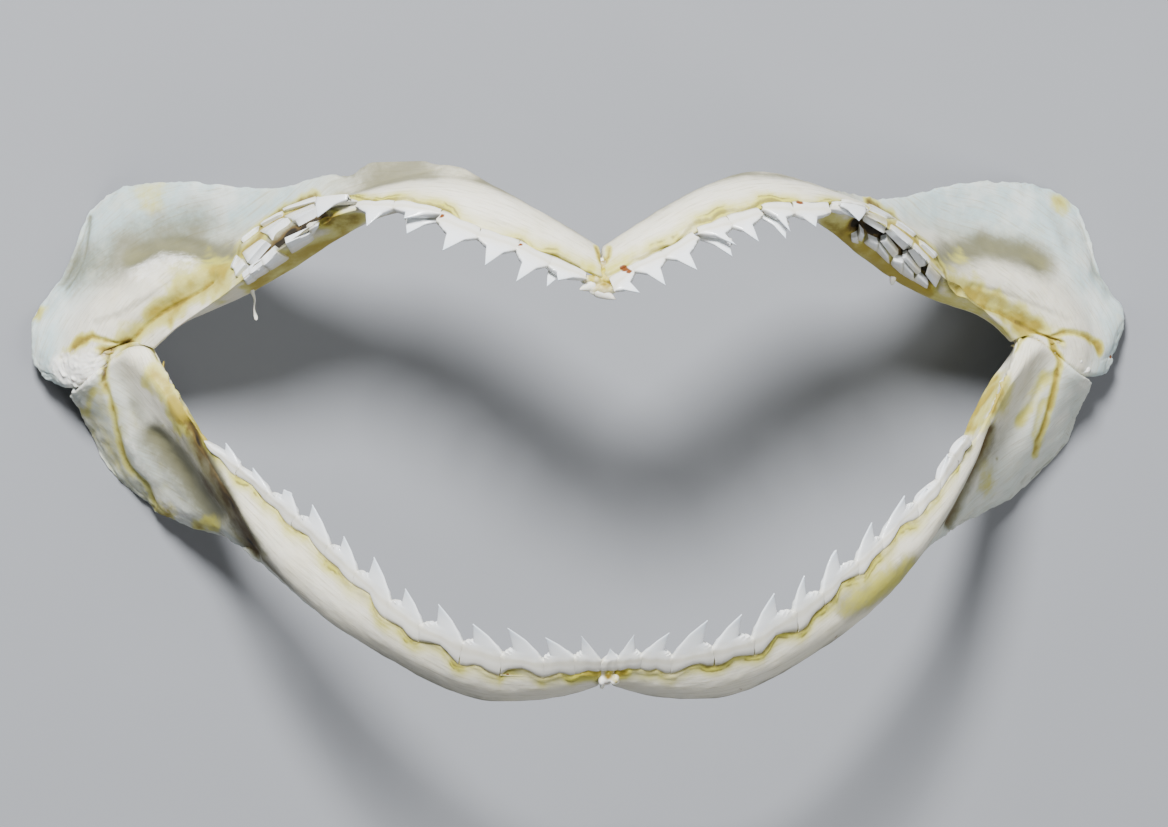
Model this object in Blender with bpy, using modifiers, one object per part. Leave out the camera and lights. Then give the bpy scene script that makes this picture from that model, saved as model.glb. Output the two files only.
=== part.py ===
"""Dried, spread jaw of a small requiem shark, lying on its back with the teeth up.

The jaw is four cartilages: two upper halves (palatoquadrates) and two lower
halves (Meckel's cartilages). Each half is one loft along the tooth row, from
the symphysis in front to the jaw joint behind, and its teeth are united with
it. A plug of dried tissue sits in each symphysis.

Frame: +X runs across the jaw, +Y from the lower jaw to the upper jaw, and +Z
up from the surface that the jaw lies on. The halves are drawn on the +X side,
which is called right, and mirrored for the left.
"""
import math
from collections import namedtuple

import bmesh
import bpy
from mathutils import Vector

MM = 0.001
UP = Vector((0.0, 0.0, 1.0))

# ---- driving dimensions, mm ------------------------------------------------
UPPER_SYMPHYSIS = 0.2      # the halves of the upper jaw start this far from the middle
LOWER_SYMPHYSIS = 1.2      # the halves of the lower jaw, with a plug of tissue between
RINGS = 12                 # loft sections along one half, besides the two end rings
END_RING = 0.12            # the last rings lie close together, so that the ends stay full
SYMPHYSIS_SLOPE = 2.5      # distance from the middle gained per station by the end ring
PLATE_THICKNESS = 1.5      # thin muscle plates behind the tooth row
EDGE_THICKNESS = 0.9       # outer rim of those plates
PLATE_STARTS = 3.5         # crest-to-edge distance at which the bar begins to spread
PLATE_FULL = 8.5           # and at which it is a full plate
BAR_DEPTH = 3.6            # tooth-bearing bar, front to back at its crest
BAR_BACK = 1.6             # how far the back of the bar lies behind its crest
PLATE_BACK = 0.6           # more of both where the bar is a plate
LINGUAL_DROP = 1.8         # tooth edge down to the top of the lingual wall
LINGUAL_HOLLOW = 0.4       # how far that top follows a heel that is set back
HEEL_SAG = 0.3             # wall between the heel and the back of the bar, bulged down
GUM_AT = 0.25              # the gum line and the bulge, as shares of the way
BULGE_AT = 0.62            # from the tooth edge to the crest
BAR_TOP_AT = 0.35          # top of a bar without a plate, as a share from crest to edge
BAR_TOP_BACK = 0.25        # and set back by this much
EDGE_BACK = 0.7            # the bar's lower edge, behind its upper one
BACK_MIDDLE_AT = 0.55      # middle points of the back, as a share of the way
GAPE_MIDDLE = (0.0, -4.0, 0.0)
JOINT_GAP = 0.6            # the two cartilages are kept apart at the jaw joint
FLOOR_DEPTH = 5.0          # block under the floor that cuts the flats the jaw rests on
FLOOR_WIDTH = 200.0

TOOTH_PITCH = 5.0          # width of a full-grown tooth along the jaw
TOOTH_THICKNESS = 1.1
ROOT_DEPTH = 1.4           # root sunk into the cartilage
TOOTH_COVER = 0.96         # a tooth's share of its place in the row, the rest is gap
TIP_TAPER = 0.75           # how much thinner a tooth is at its tip
ROOT_DROP = 0.7            # tooth base below the tooth edge, inside the bar
CROWN_LEAN = 0.62          # share of a crown that points up, away from the floor
LOWER_TEETH = 12           # in each half
UPPER_TEETH = 12
LOWER_FIRST_TOOTH = 1.4    # from the middle of the jaw to the first tooth
UPPER_FIRST_TOOTH = 2.6
LOWER_ROW_END = 7.75       # station where the tooth row ends
UPPER_ROW_END = 7.0
REAR_STARTS = 0.45         # share of the row behind which the teeth change
REAR_LEAN = 0.86           # teeth beside the corner stand up more
REAR_SHORTER = 0.3         # and are this much shorter
LOWER_CROWN = 4.7
UPPER_CROWN = 4.8
SMALL_TOOTH = 0.3          # a crown keeps this share however narrow its tooth is
FRONT_STEP = 0.15          # teeth widen by this share each, away from the symphysis
REAR_STEP = 0.12           # and narrow by this share each, towards the corner
UPPER_ENDS = (0.8, 0.68)   # first and last tooth, as shares of a full-grown one
LOWER_ENDS = (0.58, 0.9)

# One section of a jaw half. The points are the tooth edge, the crest of the
# bar and the outer edge of the plate. The lengths shape what lies between:
# gum and bulge swell the bar's face, drop and reach place the fossa behind
# the crest, swell raises the rim of the plate, and heel_in and heel_depth
# place the lingual corner of the bar.
Station = namedtuple(
    "Station", "tooth crest edge gum bulge drop reach swell heel_in heel_depth")

UPPER = (
    Station((0.0, 17.2, 41.0), (0.3, 21.4, 37.0), (0.4, 20.8, 34.6),
            0.3, 0.6, 0.8, 0.1, 0.0, -0.8, 5.2),
    Station((6.2, 20.2, 40.5), (4.5, 24.1, 37.0), (4.6, 23.7, 34.2),
            0.4, 0.9, 0.9, 0.2, 0.0, -0.8, 5.2),
    Station((12.0, 23.2, 39.5), (9.4, 27.0, 36.0), (9.5, 26.8, 33.2),
            0.4, 1.0, 0.9, 0.3, 0.0, -0.8, 5.4),
    Station((18.4, 25.5, 38.0), (15.2, 29.6, 34.5), (15.2, 29.7, 31.8),
            0.4, 0.9, 0.9, 0.3, 0.0, -0.5, 5.8),
    Station((24.5, 26.6, 36.0), (22.4, 29.6, 32.0), (21.6, 31.2, 29.0),
            0.3, 0.6, 1.8, 0.4, 0.0, 0.8, 6.0),
    Station((30.5, 25.8, 33.0), (30.4, 27.6, 29.0), (29.4, 29.6, 24.5),
            0.1, 0.2, 3.0, 0.5, 0.0, 3.4, 6.4),
    Station((36.8, 22.6, 28.0), (38.2, 24.3, 23.5), (36.6, 28.4, 18.0),
            -0.1, 0.1, 5.5, 0.8, 0.0, 4.2, 6.6),
    Station((42.2, 17.4, 23.5), (43.0, 20.7, 18.8), (43.6, 29.4, 12.0),
            -0.6, 0.0, 6.8, 1.6, 0.3, 2.6, 5.8),
    Station((46.6, 14.7, 19.0), (48.8, 19.4, 15.5), (52.1, 30.2, 5.2),
            -1.2, -0.3, 7.0, 3.2, 0.4, 1.2, 5.0),
    Station((49.9, 12.2, 15.8), (54.6, 18.0, 12.4), (60.4, 28.6, -0.4),
            -1.4, -0.3, 6.2, 3.2, 0.6, 0.6, 4.6),
    Station((51.6, 10.6, 13.6), (59.6, 14.4, 9.8), (63.2, 19.4, -0.4),
            -1.3, 0.2, 4.6, 2.0, 0.6, 0.4, 4.2),
    Station((52.3, 9.8, 12.6), (62.2, 9.8, 8.6), (68.7, 11.8, 1.6),
            -0.9, 0.4, 2.4, 1.4, 0.5, 0.2, 4.0),
    Station((52.6, 9.6, 12.2), (60.6, 6.7, 8.6), (65.0, 6.0, 4.0),
            -0.6, 0.4, 1.6, 1.2, 0.4, 0.2, 3.8),
)

LOWER = (
    Station((0.0, -27.6, 41.0), (0.2, -30.2, 37.0), (0.2, -29.6, 34.8),
            0.3, 0.6, 0.8, 0.1, 0.0, -0.8, 5.2),
    Station((5.9, -27.4, 41.3), (4.9, -31.6, 36.5), (4.9, -31.2, 33.8),
            0.4, 1.0, 0.9, 0.2, 0.0, -0.8, 5.2),
    Station((11.6, -26.9, 41.0), (11.7, -32.2, 35.5), (11.7, -31.9, 32.8),
            0.5, 1.2, 0.9, 0.3, 0.0, -0.9, 5.4),
    Station((17.1, -25.4, 39.7), (17.0, -31.3, 34.5), (17.1, -31.1, 31.6),
            0.5, 1.3, 0.9, 0.3, 0.0, -0.9, 5.4),
    Station((23.4, -21.8, 37.5), (23.4, -27.8, 33.5), (23.6, -27.8, 30.4),
            0.5, 1.4, 0.9, 0.3, 0.0, -0.9, 5.2),
    Station((29.3, -16.9, 33.5), (29.4, -24.3, 31.0), (29.6, -24.3, 27.6),
            0.5, 1.4, 0.9, 0.3, 0.0, -0.9, 5.0),
    Station((34.9, -12.2, 29.0), (35.2, -19.8, 28.0), (35.6, -20.0, 24.0),
            0.5, 1.3, 1.4, 0.3, 0.0, -0.9, 4.8),
    Station((40.1, -7.3, 25.0), (40.1, -14.7, 25.0), (41.0, -14.4, 16.0),
            0.4, 1.0, 6.0, 0.6, 0.2, -0.9, 4.6),
    Station((46.2, -1.2, 20.5), (44.8, -7.5, 21.5), (47.6, -11.5, 5.2),
            0.2, 0.6, 8.5, 1.2, 1.0, -0.8, 4.4),
    Station((49.4, 3.4, 16.8), (48.3, -0.8, 17.6), (56.1, -7.4, -0.8),
            0.1, 0.3, 8.0, 2.4, 3.6, -0.6, 4.0),
    Station((51.2, 7.0, 13.8), (51.6, 5.0, 14.6), (61.2, -0.6, 0.2),
            0.1, 0.1, 5.6, 2.4, 3.8, -0.4, 3.8),
    Station((52.2, 9.2, 12.0), (56.4, 7.6, 11.6), (62.2, 4.9, 5.0),
            0.1, 0.1, 2.0, 2.0, 3.0, -0.2, 3.6),
)

# The two sides of the real jaw differ a little. Each entry changes one field of
# some stations of one half: jaw, side, stations, field and the change in mm.
SIDE_TWEAKS = (
    ("upper", "left", (3, 4), "edge", (-0.3, 0.9, 0.0)),
    ("upper", "left", (4,), "edge", (-0.6, 1.9, 0.0)),
    ("upper", "left", (5, 6, 7, 8, 9), "edge", (0.0, 0.5, 0.0)),
    ("upper", "left", (10,), "edge", (-0.5, 0.0, 0.0)),
    ("upper", "left", (8, 9, 10), "heel_in", -0.6),
    ("upper", "right", (5, 6), "edge", (0.0, -2.0, 0.0)),
    ("upper", "right", (9,), "edge", (1.4, 0.2, 0.0)),
    ("upper", "right", (10,), "edge", (0.5, 0.0, 0.0)),
    ("upper", "right", (11,), "edge", (0.5, 0.8, 0.0)),
    ("upper", "right", (5, 6, 7), "heel_in", 1.6),
    ("lower", "left", (9, 10), "tooth", (-0.6, 0.2, 0.0)),
    ("lower", "left", (9,), "edge", (-0.4, 0.3, 0.0)),
    ("lower", "left", (10,), "edge", (-0.9, 0.2, 0.0)),
    ("lower", "right", (7, 8), "tooth", (0.5, -0.4, 0.0)),
    ("lower", "right", (9, 10), "edge", (0.4, -0.3, 0.0)),
    ("lower", "right", (10, 11), "tooth", (0.5, 0.0, 0.0)),
)

# Plugs of dried tissue in the two symphyses: middle and size.
UPPER_PLUG = (0.0, 16.3, 39.8)
UPPER_PLUG_SIZE = (4.4, 1.9, 4.0)
LOWER_PLUG = (0.0, -28.4, 39.2)
LOWER_PLUG_SIZE = (2.0, 5.0, 6.0)

CARTILAGE = ("dried cartilage", (0.87, 0.84, 0.74, 1.0), 0.42)
TISSUE = ("dried tissue", (0.72, 0.56, 0.24, 1.0), 0.55)


# ---- helpers ---------------------------------------------------------------
def catmull(values, position):
    """Smooth value at a fractional place in a list of points or numbers."""
    last = len(values) - 1
    index = min(int(position), last - 1)
    t = position - index
    before = values[max(index - 1, 0)]
    start = values[index]
    end = values[index + 1]
    after = values[min(index + 2, last)]
    return 0.5 * (2 * start + (end - before) * t
                  + (2 * before - 5 * start + 4 * end - after) * t ** 2
                  + (3 * start - before - 3 * end + after) * t ** 3)


def flat(vector):
    """Unit vector of the part of a vector that lies in the floor plane."""
    return Vector((vector.x, vector.y, 0.0)).normalized()


class Half:
    """Feature lines of one jaw half, read at any place along it."""

    def __init__(self, stations):
        self.last = len(stations) - 1
        self.lines = {}
        for field in Station._fields:
            column = [getattr(station, field) for station in stations]
            if isinstance(column[0], tuple):
                column = [Vector(point) for point in column]
            self.lines[field] = column

    def at(self, field, place):
        return catmull(self.lines[field], place)

    def along(self, place):
        """Direction of the tooth edge, away from the symphysis."""
        step = 0.05
        low = self.at("tooth", max(place - step, 0.0))
        high = self.at("tooth", min(place + step, self.last))
        return (high - low).normalized()

    def inward(self, place):
        """Level direction from the tooth edge towards the gape."""
        direction = self.along(place)
        side = flat(Vector((direction.y, -direction.x, 0.0)))
        to_middle = Vector(GAPE_MIDDLE) - self.at("tooth", place)
        return side if side.dot(to_middle) > 0.0 else -side

    def section(self, place):
        """Front and back points of one section, tooth edge first."""
        tooth, crest, edge = (self.at(f, place) for f in ("tooth", "crest", "edge"))
        gum, bulge, drop, reach, swell, heel_in, heel_depth = (
            self.at(f, place) for f in Station._fields[3:])
        inward = self.inward(place)
        down = -UP
        face = crest - tooth
        normal = face.cross(self.along(place)).normalized()
        if normal.z < 0.0:
            normal = -normal
        outward = flat(edge - crest)
        spread = (edge - crest).length - PLATE_STARTS
        plate = min(1.0, max(0.0, spread / (PLATE_FULL - PLATE_STARTS)))

        fossa = crest + outward * reach + down * drop
        if plate == 0.0:
            fossa = crest.lerp(edge, BAR_TOP_AT) - inward * BAR_TOP_BACK
        rim = fossa.lerp(edge, 0.5) - down * swell
        front = [
            tooth,
            tooth + face * GUM_AT + normal * gum,
            tooth + face * BULGE_AT + normal * bulge,
            crest,
            fossa,
            rim,
            edge,
        ]
        heel = tooth + inward * heel_in + down * heel_depth
        extra = PLATE_BACK * plate
        crest_back = crest + inward * (BAR_BACK + extra) + down * (BAR_DEPTH + extra * drop)
        edge_back = edge + inward * EDGE_BACK * (1.0 - plate) + down * EDGE_THICKNESS
        bar_middle = edge_back.lerp(crest_back, BACK_MIDDLE_AT)
        fossa_back = bar_middle.lerp(fossa + down * PLATE_THICKNESS, plate)
        wall_top = inward * min(0.0, heel_in) * LINGUAL_HOLLOW
        back = [
            tooth + down * LINGUAL_DROP + wall_top,
            heel,
            heel.lerp(crest_back, BACK_MIDDLE_AT) + down * HEEL_SAG,
            crest_back,
            fossa_back,
            fossa_back.lerp(edge_back, 0.5),
            edge_back,
        ]
        return front, back


def new_object(name, mesh_data, collection, finish=None):
    item = bpy.data.objects.new(name, mesh_data)
    collection.objects.link(item)
    if finish:
        mesh_data.materials.append(material(*finish))
    return item


def material(name, colour, roughness):
    found = bpy.data.materials.get(name)
    if found:
        return found
    made = bpy.data.materials.new(name)
    made.use_nodes = True
    shader = made.node_tree.nodes["Principled BSDF"]
    shader.inputs["Base Color"].default_value = colour
    shader.inputs["Roughness"].default_value = roughness
    shader.inputs["Metallic"].default_value = 0.0
    return made


def finish_mesh(name, bm, mirrored):
    """Mesh data in metres from a bmesh in millimetres, mirrored for the left."""
    factor = -MM if mirrored else MM
    for vert in bm.verts:
        vert.co = Vector((vert.co.x * factor, vert.co.y * MM, vert.co.z * MM))
    bmesh.ops.recalc_face_normals(bm, faces=bm.faces[:])
    mesh_data = bpy.data.meshes.new(name)
    bm.to_mesh(mesh_data)
    bm.free()
    mesh_data.shade_smooth()
    return mesh_data


# ---- sub-parts -------------------------------------------------------------
def ring_places(last):
    """Even steps along a half, with one more ring close to each end."""
    even = [last * i / (RINGS - 1) for i in range(RINGS)]
    return [even[0], END_RING] + even[1:-1] + [last - END_RING, last]


def cartilage_mesh(name, half, start_x, joint_side, mirrored):
    """Loft through the sections of one half, closed at both ends."""
    bm = bmesh.new()
    loops = []
    places = ring_places(half.last)
    for place in places:
        front, back = half.section(place)
        points = front + back[::-1]
        if place <= END_RING:
            points = [Vector((start_x + SYMPHYSIS_SLOPE * place, p.y, p.z)) for p in points]
        if place == half.last:
            points = [p + Vector((0.0, joint_side * JOINT_GAP / 2, 0.0)) for p in points]
        loops.append([bm.verts.new(point) for point in points])
    count = len(loops[0])
    for low, high in zip(loops, loops[1:]):
        for i in range(count):
            j = (i + 1) % count
            bm.faces.new((low[i], low[j], high[j], high[i]))
    for loop in (loops[0], loops[-1]):
        for i in range(count // 2 - 1):
            bm.faces.new((loop[i], loop[i + 1], loop[count - 2 - i], loop[count - 1 - i]))
    return finish_mesh(name, bm, mirrored)


def tooth_outline(width, crown, upper):
    """Outline of a tooth: along the jaw away from the symphysis, and up."""
    root = ROOT_DEPTH / crown
    if upper:
        crest = ((-0.48, 0.16), (-0.12, 0.3), (0.44, 1.0), (0.26, 0.3), (0.48, 0.2))
    else:
        crest = ((-0.48, 0.12), (-0.16, 0.42), (0.2, 1.0), (0.2, 0.3), (0.48, 0.16))
    shape = ((-0.48, -root),) + crest + ((0.48, -root),)
    return [(x * width, y * crown) for x, y in shape]


def add_tooth(bm, half, place, width, crown, lean, upper):
    """One tooth as a tapered slab, thinner towards its tip."""
    base = half.at("tooth", place) - UP * ROOT_DROP
    along = half.along(place)
    up = half.inward(place) * math.sqrt(1.0 - lean ** 2) + UP * lean
    up = (up - along * up.dot(along)).normalized()
    facing = along.cross(up).normalized()
    rows = []
    for side in (0.5, -0.5):
        row = []
        for x, y in tooth_outline(width, crown, upper):
            taper = 1.0 - TIP_TAPER * max(0.0, y) / crown
            offset = facing * (side * TOOTH_THICKNESS * taper)
            row.append(bm.verts.new(base + along * x + up * y + offset))
        rows.append(row)
    front, back = rows
    count = len(front)
    bm.faces.new(front)
    bm.faces.new(back[::-1])
    for i in range(count):
        j = (i + 1) % count
        bm.faces.new((front[j], front[i], back[i], back[j]))


def tooth_places(half, count, first_tooth, end_place, upper):
    """Places and widths of the teeth, smaller towards the two ends of the row."""
    first, last = UPPER_ENDS if upper else LOWER_ENDS
    widths = []
    for i in range(count):
        widths.append(min(1.0, first + FRONT_STEP * i, last + REAR_STEP * (count - 1 - i)))
    steps = 300
    lengths = [0.0]
    for step in range(steps):
        low = half.at("tooth", end_place * step / steps)
        high = half.at("tooth", end_place * (step + 1) / steps)
        lengths.append(lengths[-1] + (high - low).length)
    scale = (lengths[-1] - first_tooth) / sum(widths)
    travelled = first_tooth
    places = []
    for width in widths:
        middle = travelled + width * scale / 2
        travelled += width * scale
        step = min(range(steps + 1), key=lambda s: abs(lengths[s] - middle))
        places.append((end_place * step / steps, width * scale))
    return places


def teeth_mesh(name, half, count, first_tooth, end_place, crown, upper, mirrored):
    bm = bmesh.new()
    for place, width in tooth_places(half, count, first_tooth, end_place, upper):
        size = min(1.0, SMALL_TOOTH + (1.0 - SMALL_TOOTH) * width / TOOTH_PITCH)
        rear = max(0.0, place / end_place - REAR_STARTS) / (1.0 - REAR_STARTS)
        lean = CROWN_LEAN + (REAR_LEAN - CROWN_LEAN) * rear
        size *= 1.0 - REAR_SHORTER * rear
        add_tooth(bm, half, place, width * TOOTH_COVER, crown * size, lean, upper)
    bmesh.ops.triangulate(bm, faces=bm.faces[:])
    return finish_mesh(name, bm, mirrored)


def tweaked(stations, jaw, side):
    """Stations of one half with that side's own small differences."""
    result = list(stations)
    for tweak_jaw, tweak_side, indexes, field, change in SIDE_TWEAKS:
        if (tweak_jaw, tweak_side) != (jaw, side):
            continue
        for index in indexes:
            value = getattr(result[index], field)
            if isinstance(value, tuple):
                value = tuple(a + b for a, b in zip(value, change))
            else:
                value += change
            result[index] = result[index]._replace(**{field: value})
    return result


def rest_flats(body, floor_block):
    """Cut off what dips below the floor, which leaves small flats to rest on."""
    cut = body.modifiers.new("rest flats", 'BOOLEAN')
    cut.operation = 'DIFFERENCE'
    cut.object = floor_block


def jaw_half(jaw, side, parts, cutters, floor_block):
    """One cartilage with its teeth united with it."""
    upper = jaw == "upper"
    mirrored = side == "left"
    name = jaw + "_jaw_" + side
    half = Half(tweaked(UPPER if upper else LOWER, jaw, side))
    start_x = UPPER_SYMPHYSIS if upper else LOWER_SYMPHYSIS
    mesh_data = cartilage_mesh(name, half, start_x, 1.0 if upper else -1.0, mirrored)
    body = new_object(name, mesh_data, parts, CARTILAGE)
    smooth = body.modifiers.new("smooth", 'SUBSURF')
    smooth.levels = 1
    smooth.render_levels = 1

    if upper:
        row = (UPPER_TEETH, UPPER_FIRST_TOOTH, UPPER_ROW_END, UPPER_CROWN)
    else:
        row = (LOWER_TEETH, LOWER_FIRST_TOOTH, LOWER_ROW_END, LOWER_CROWN)
    teeth_data = teeth_mesh(name + "_teeth", half, *row, upper, mirrored)
    teeth = new_object(name + "_teeth", teeth_data, cutters)
    teeth.hide_render = True
    teeth.display_type = 'WIRE'
    union = body.modifiers.new("teeth", 'BOOLEAN')
    union.operation = 'UNION'
    union.object = teeth
    rest_flats(body, floor_block)


def tissue_plug(name, centre, size, parts):
    """A rounded lump of dried tissue that joins two halves."""
    bm = bmesh.new()
    bmesh.ops.create_cube(bm, size=1.0)
    bmesh.ops.subdivide_edges(bm, edges=bm.edges[:], cuts=1, use_grid_fill=True)
    for vert in bm.verts:
        vert.co = Vector(c + v * s for c, v, s in zip(centre, vert.co, size))
    body = new_object(name, finish_mesh(name, bm, False), parts, TISSUE)
    rounded = body.modifiers.new("rounded", 'SUBSURF')
    rounded.levels = 1
    rounded.render_levels = 1


def main():
    for item in list(bpy.data.objects):
        bpy.data.objects.remove(item, do_unlink=True)
    parts = bpy.data.collections.new("shark_jaw")
    cutters = bpy.data.collections.new("shark_jaw_cutters")
    bpy.context.scene.collection.children.link(parts)
    bpy.context.scene.collection.children.link(cutters)

    bpy.ops.mesh.primitive_cube_add(size=1.0, location=(0.0, 0.0, -FLOOR_DEPTH / 2 * MM))
    floor_block = bpy.context.object
    floor_block.name = "floor_block"
    floor_block.scale = (FLOOR_WIDTH * MM, FLOOR_WIDTH * MM, FLOOR_DEPTH * MM)
    floor_block.hide_render = True
    floor_block.display_type = 'WIRE'
    for collection in floor_block.users_collection:
        collection.objects.unlink(floor_block)
    cutters.objects.link(floor_block)

    for jaw in ("upper", "lower"):
        for side in ("left", "right"):
            jaw_half(jaw, side, parts, cutters, floor_block)
    tissue_plug("upper_symphysis", UPPER_PLUG, UPPER_PLUG_SIZE, parts)
    tissue_plug("lower_symphysis", LOWER_PLUG, LOWER_PLUG_SIZE, parts)


main()
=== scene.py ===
"""Looks of the dried shark jaw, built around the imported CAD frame.

Each cartilage is lofted from the same stations as its CAD solid, then given
its relief and its stains. Teeth are set along it one by one. Lengths in the
tables are millimetres in the row frame: +X across the jaw, +Y from the lower
to the upper jaw, +Z up from the surface it lies on. The halves are drawn on
the +X side, called right, and mirrored for the left.
"""
import math
import random
from collections import namedtuple

import bmesh
import bpy
import numpy as np
from mathutils import Matrix, Vector, noise


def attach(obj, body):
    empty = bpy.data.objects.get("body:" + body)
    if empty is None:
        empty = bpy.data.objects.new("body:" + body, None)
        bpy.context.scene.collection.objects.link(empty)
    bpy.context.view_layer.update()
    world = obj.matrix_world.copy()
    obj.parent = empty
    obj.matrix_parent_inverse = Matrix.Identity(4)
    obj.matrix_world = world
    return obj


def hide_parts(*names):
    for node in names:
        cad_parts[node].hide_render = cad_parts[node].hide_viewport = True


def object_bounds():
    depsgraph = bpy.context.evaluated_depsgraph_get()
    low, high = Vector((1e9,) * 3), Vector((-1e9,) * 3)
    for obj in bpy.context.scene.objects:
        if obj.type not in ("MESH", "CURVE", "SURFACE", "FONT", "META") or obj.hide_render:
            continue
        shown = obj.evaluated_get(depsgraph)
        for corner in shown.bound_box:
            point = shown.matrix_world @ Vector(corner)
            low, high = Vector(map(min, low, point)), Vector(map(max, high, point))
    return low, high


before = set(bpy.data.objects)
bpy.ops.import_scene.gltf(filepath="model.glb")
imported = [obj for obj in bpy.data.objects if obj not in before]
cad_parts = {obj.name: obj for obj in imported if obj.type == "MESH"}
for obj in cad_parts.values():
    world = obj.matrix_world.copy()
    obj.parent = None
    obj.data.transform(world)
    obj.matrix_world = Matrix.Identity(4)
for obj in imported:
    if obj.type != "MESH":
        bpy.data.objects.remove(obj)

bl_info = {
    "name": "Dried shark jaw",
    "version": (1, 0, 0),
    "blender": (4, 5, 0),
    "location": "3D View > Sidebar > Shark jaw",
    "description": "Builds a dried, spread shark jaw with its teeth, tissue and stage",
    "category": "Add Mesh",
}

CAD_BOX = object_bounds()
MM = 0.001
UP = Vector((0.0, 0.0, 1.0))
FAR = 1e9
SIDES = ("left", "right")

# ---- cartilage stations, mm: the same lines as the CAD solids ----------------
RING_STEPS = 14
END_RING = 0.12
SYMPHYSIS_SLOPE = 2.5
SYMPHYSIS_START = {"upper": 0.1, "lower": 0.7}
PLATE_THICKNESS = 1.5
EDGE_THICKNESS = 0.9
PLATE_STARTS = 3.5
PLATE_FULL = 8.5
BAR_DEPTH = 3.6
LINGUAL_DROP = 1.8
GUM_AT = 0.25
BULGE_AT = 0.62
GAPE_MIDDLE = Vector((0.0, -4.0, 0.0))
JOINT_OVERLAP = 0.9
FRONT_POINTS = 7
HOLLOW_ROUNDS = 60
JOINT_ARCH = 1.7            # how far the condyle stands up at its middle
JOINT_MIDDLE = 55.4
JOINT_WIDTH = 6.5
EDGE_LIFT = 0.45           # lowest the front of a plate comes to the floor
FOSSA_SHARE = 0.35         # where the fossa's line runs on a bar without a plate
FOSSA_INWARD = 0.25
PLATE_EXTRA = 0.6          # how much deeper the back lies behind a plate
CREST_BACK_IN = 1.6
EDGE_BACK_IN = 0.7
BACK_SHARE = 0.55          # where the back's and the heel's middle lines run
HEEL_SAG = 0.3
LINGUAL_SHARE = 0.4
FINE_STEPS = 200           # places at which a half is measured

def records(kind, rows):
    """The rows of a table as named tuples."""
    return tuple(kind(*row) for row in rows)


Station = namedtuple(
    "Station", "tooth crest edge gum bulge drop reach swell heel_in heel_depth")

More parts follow.
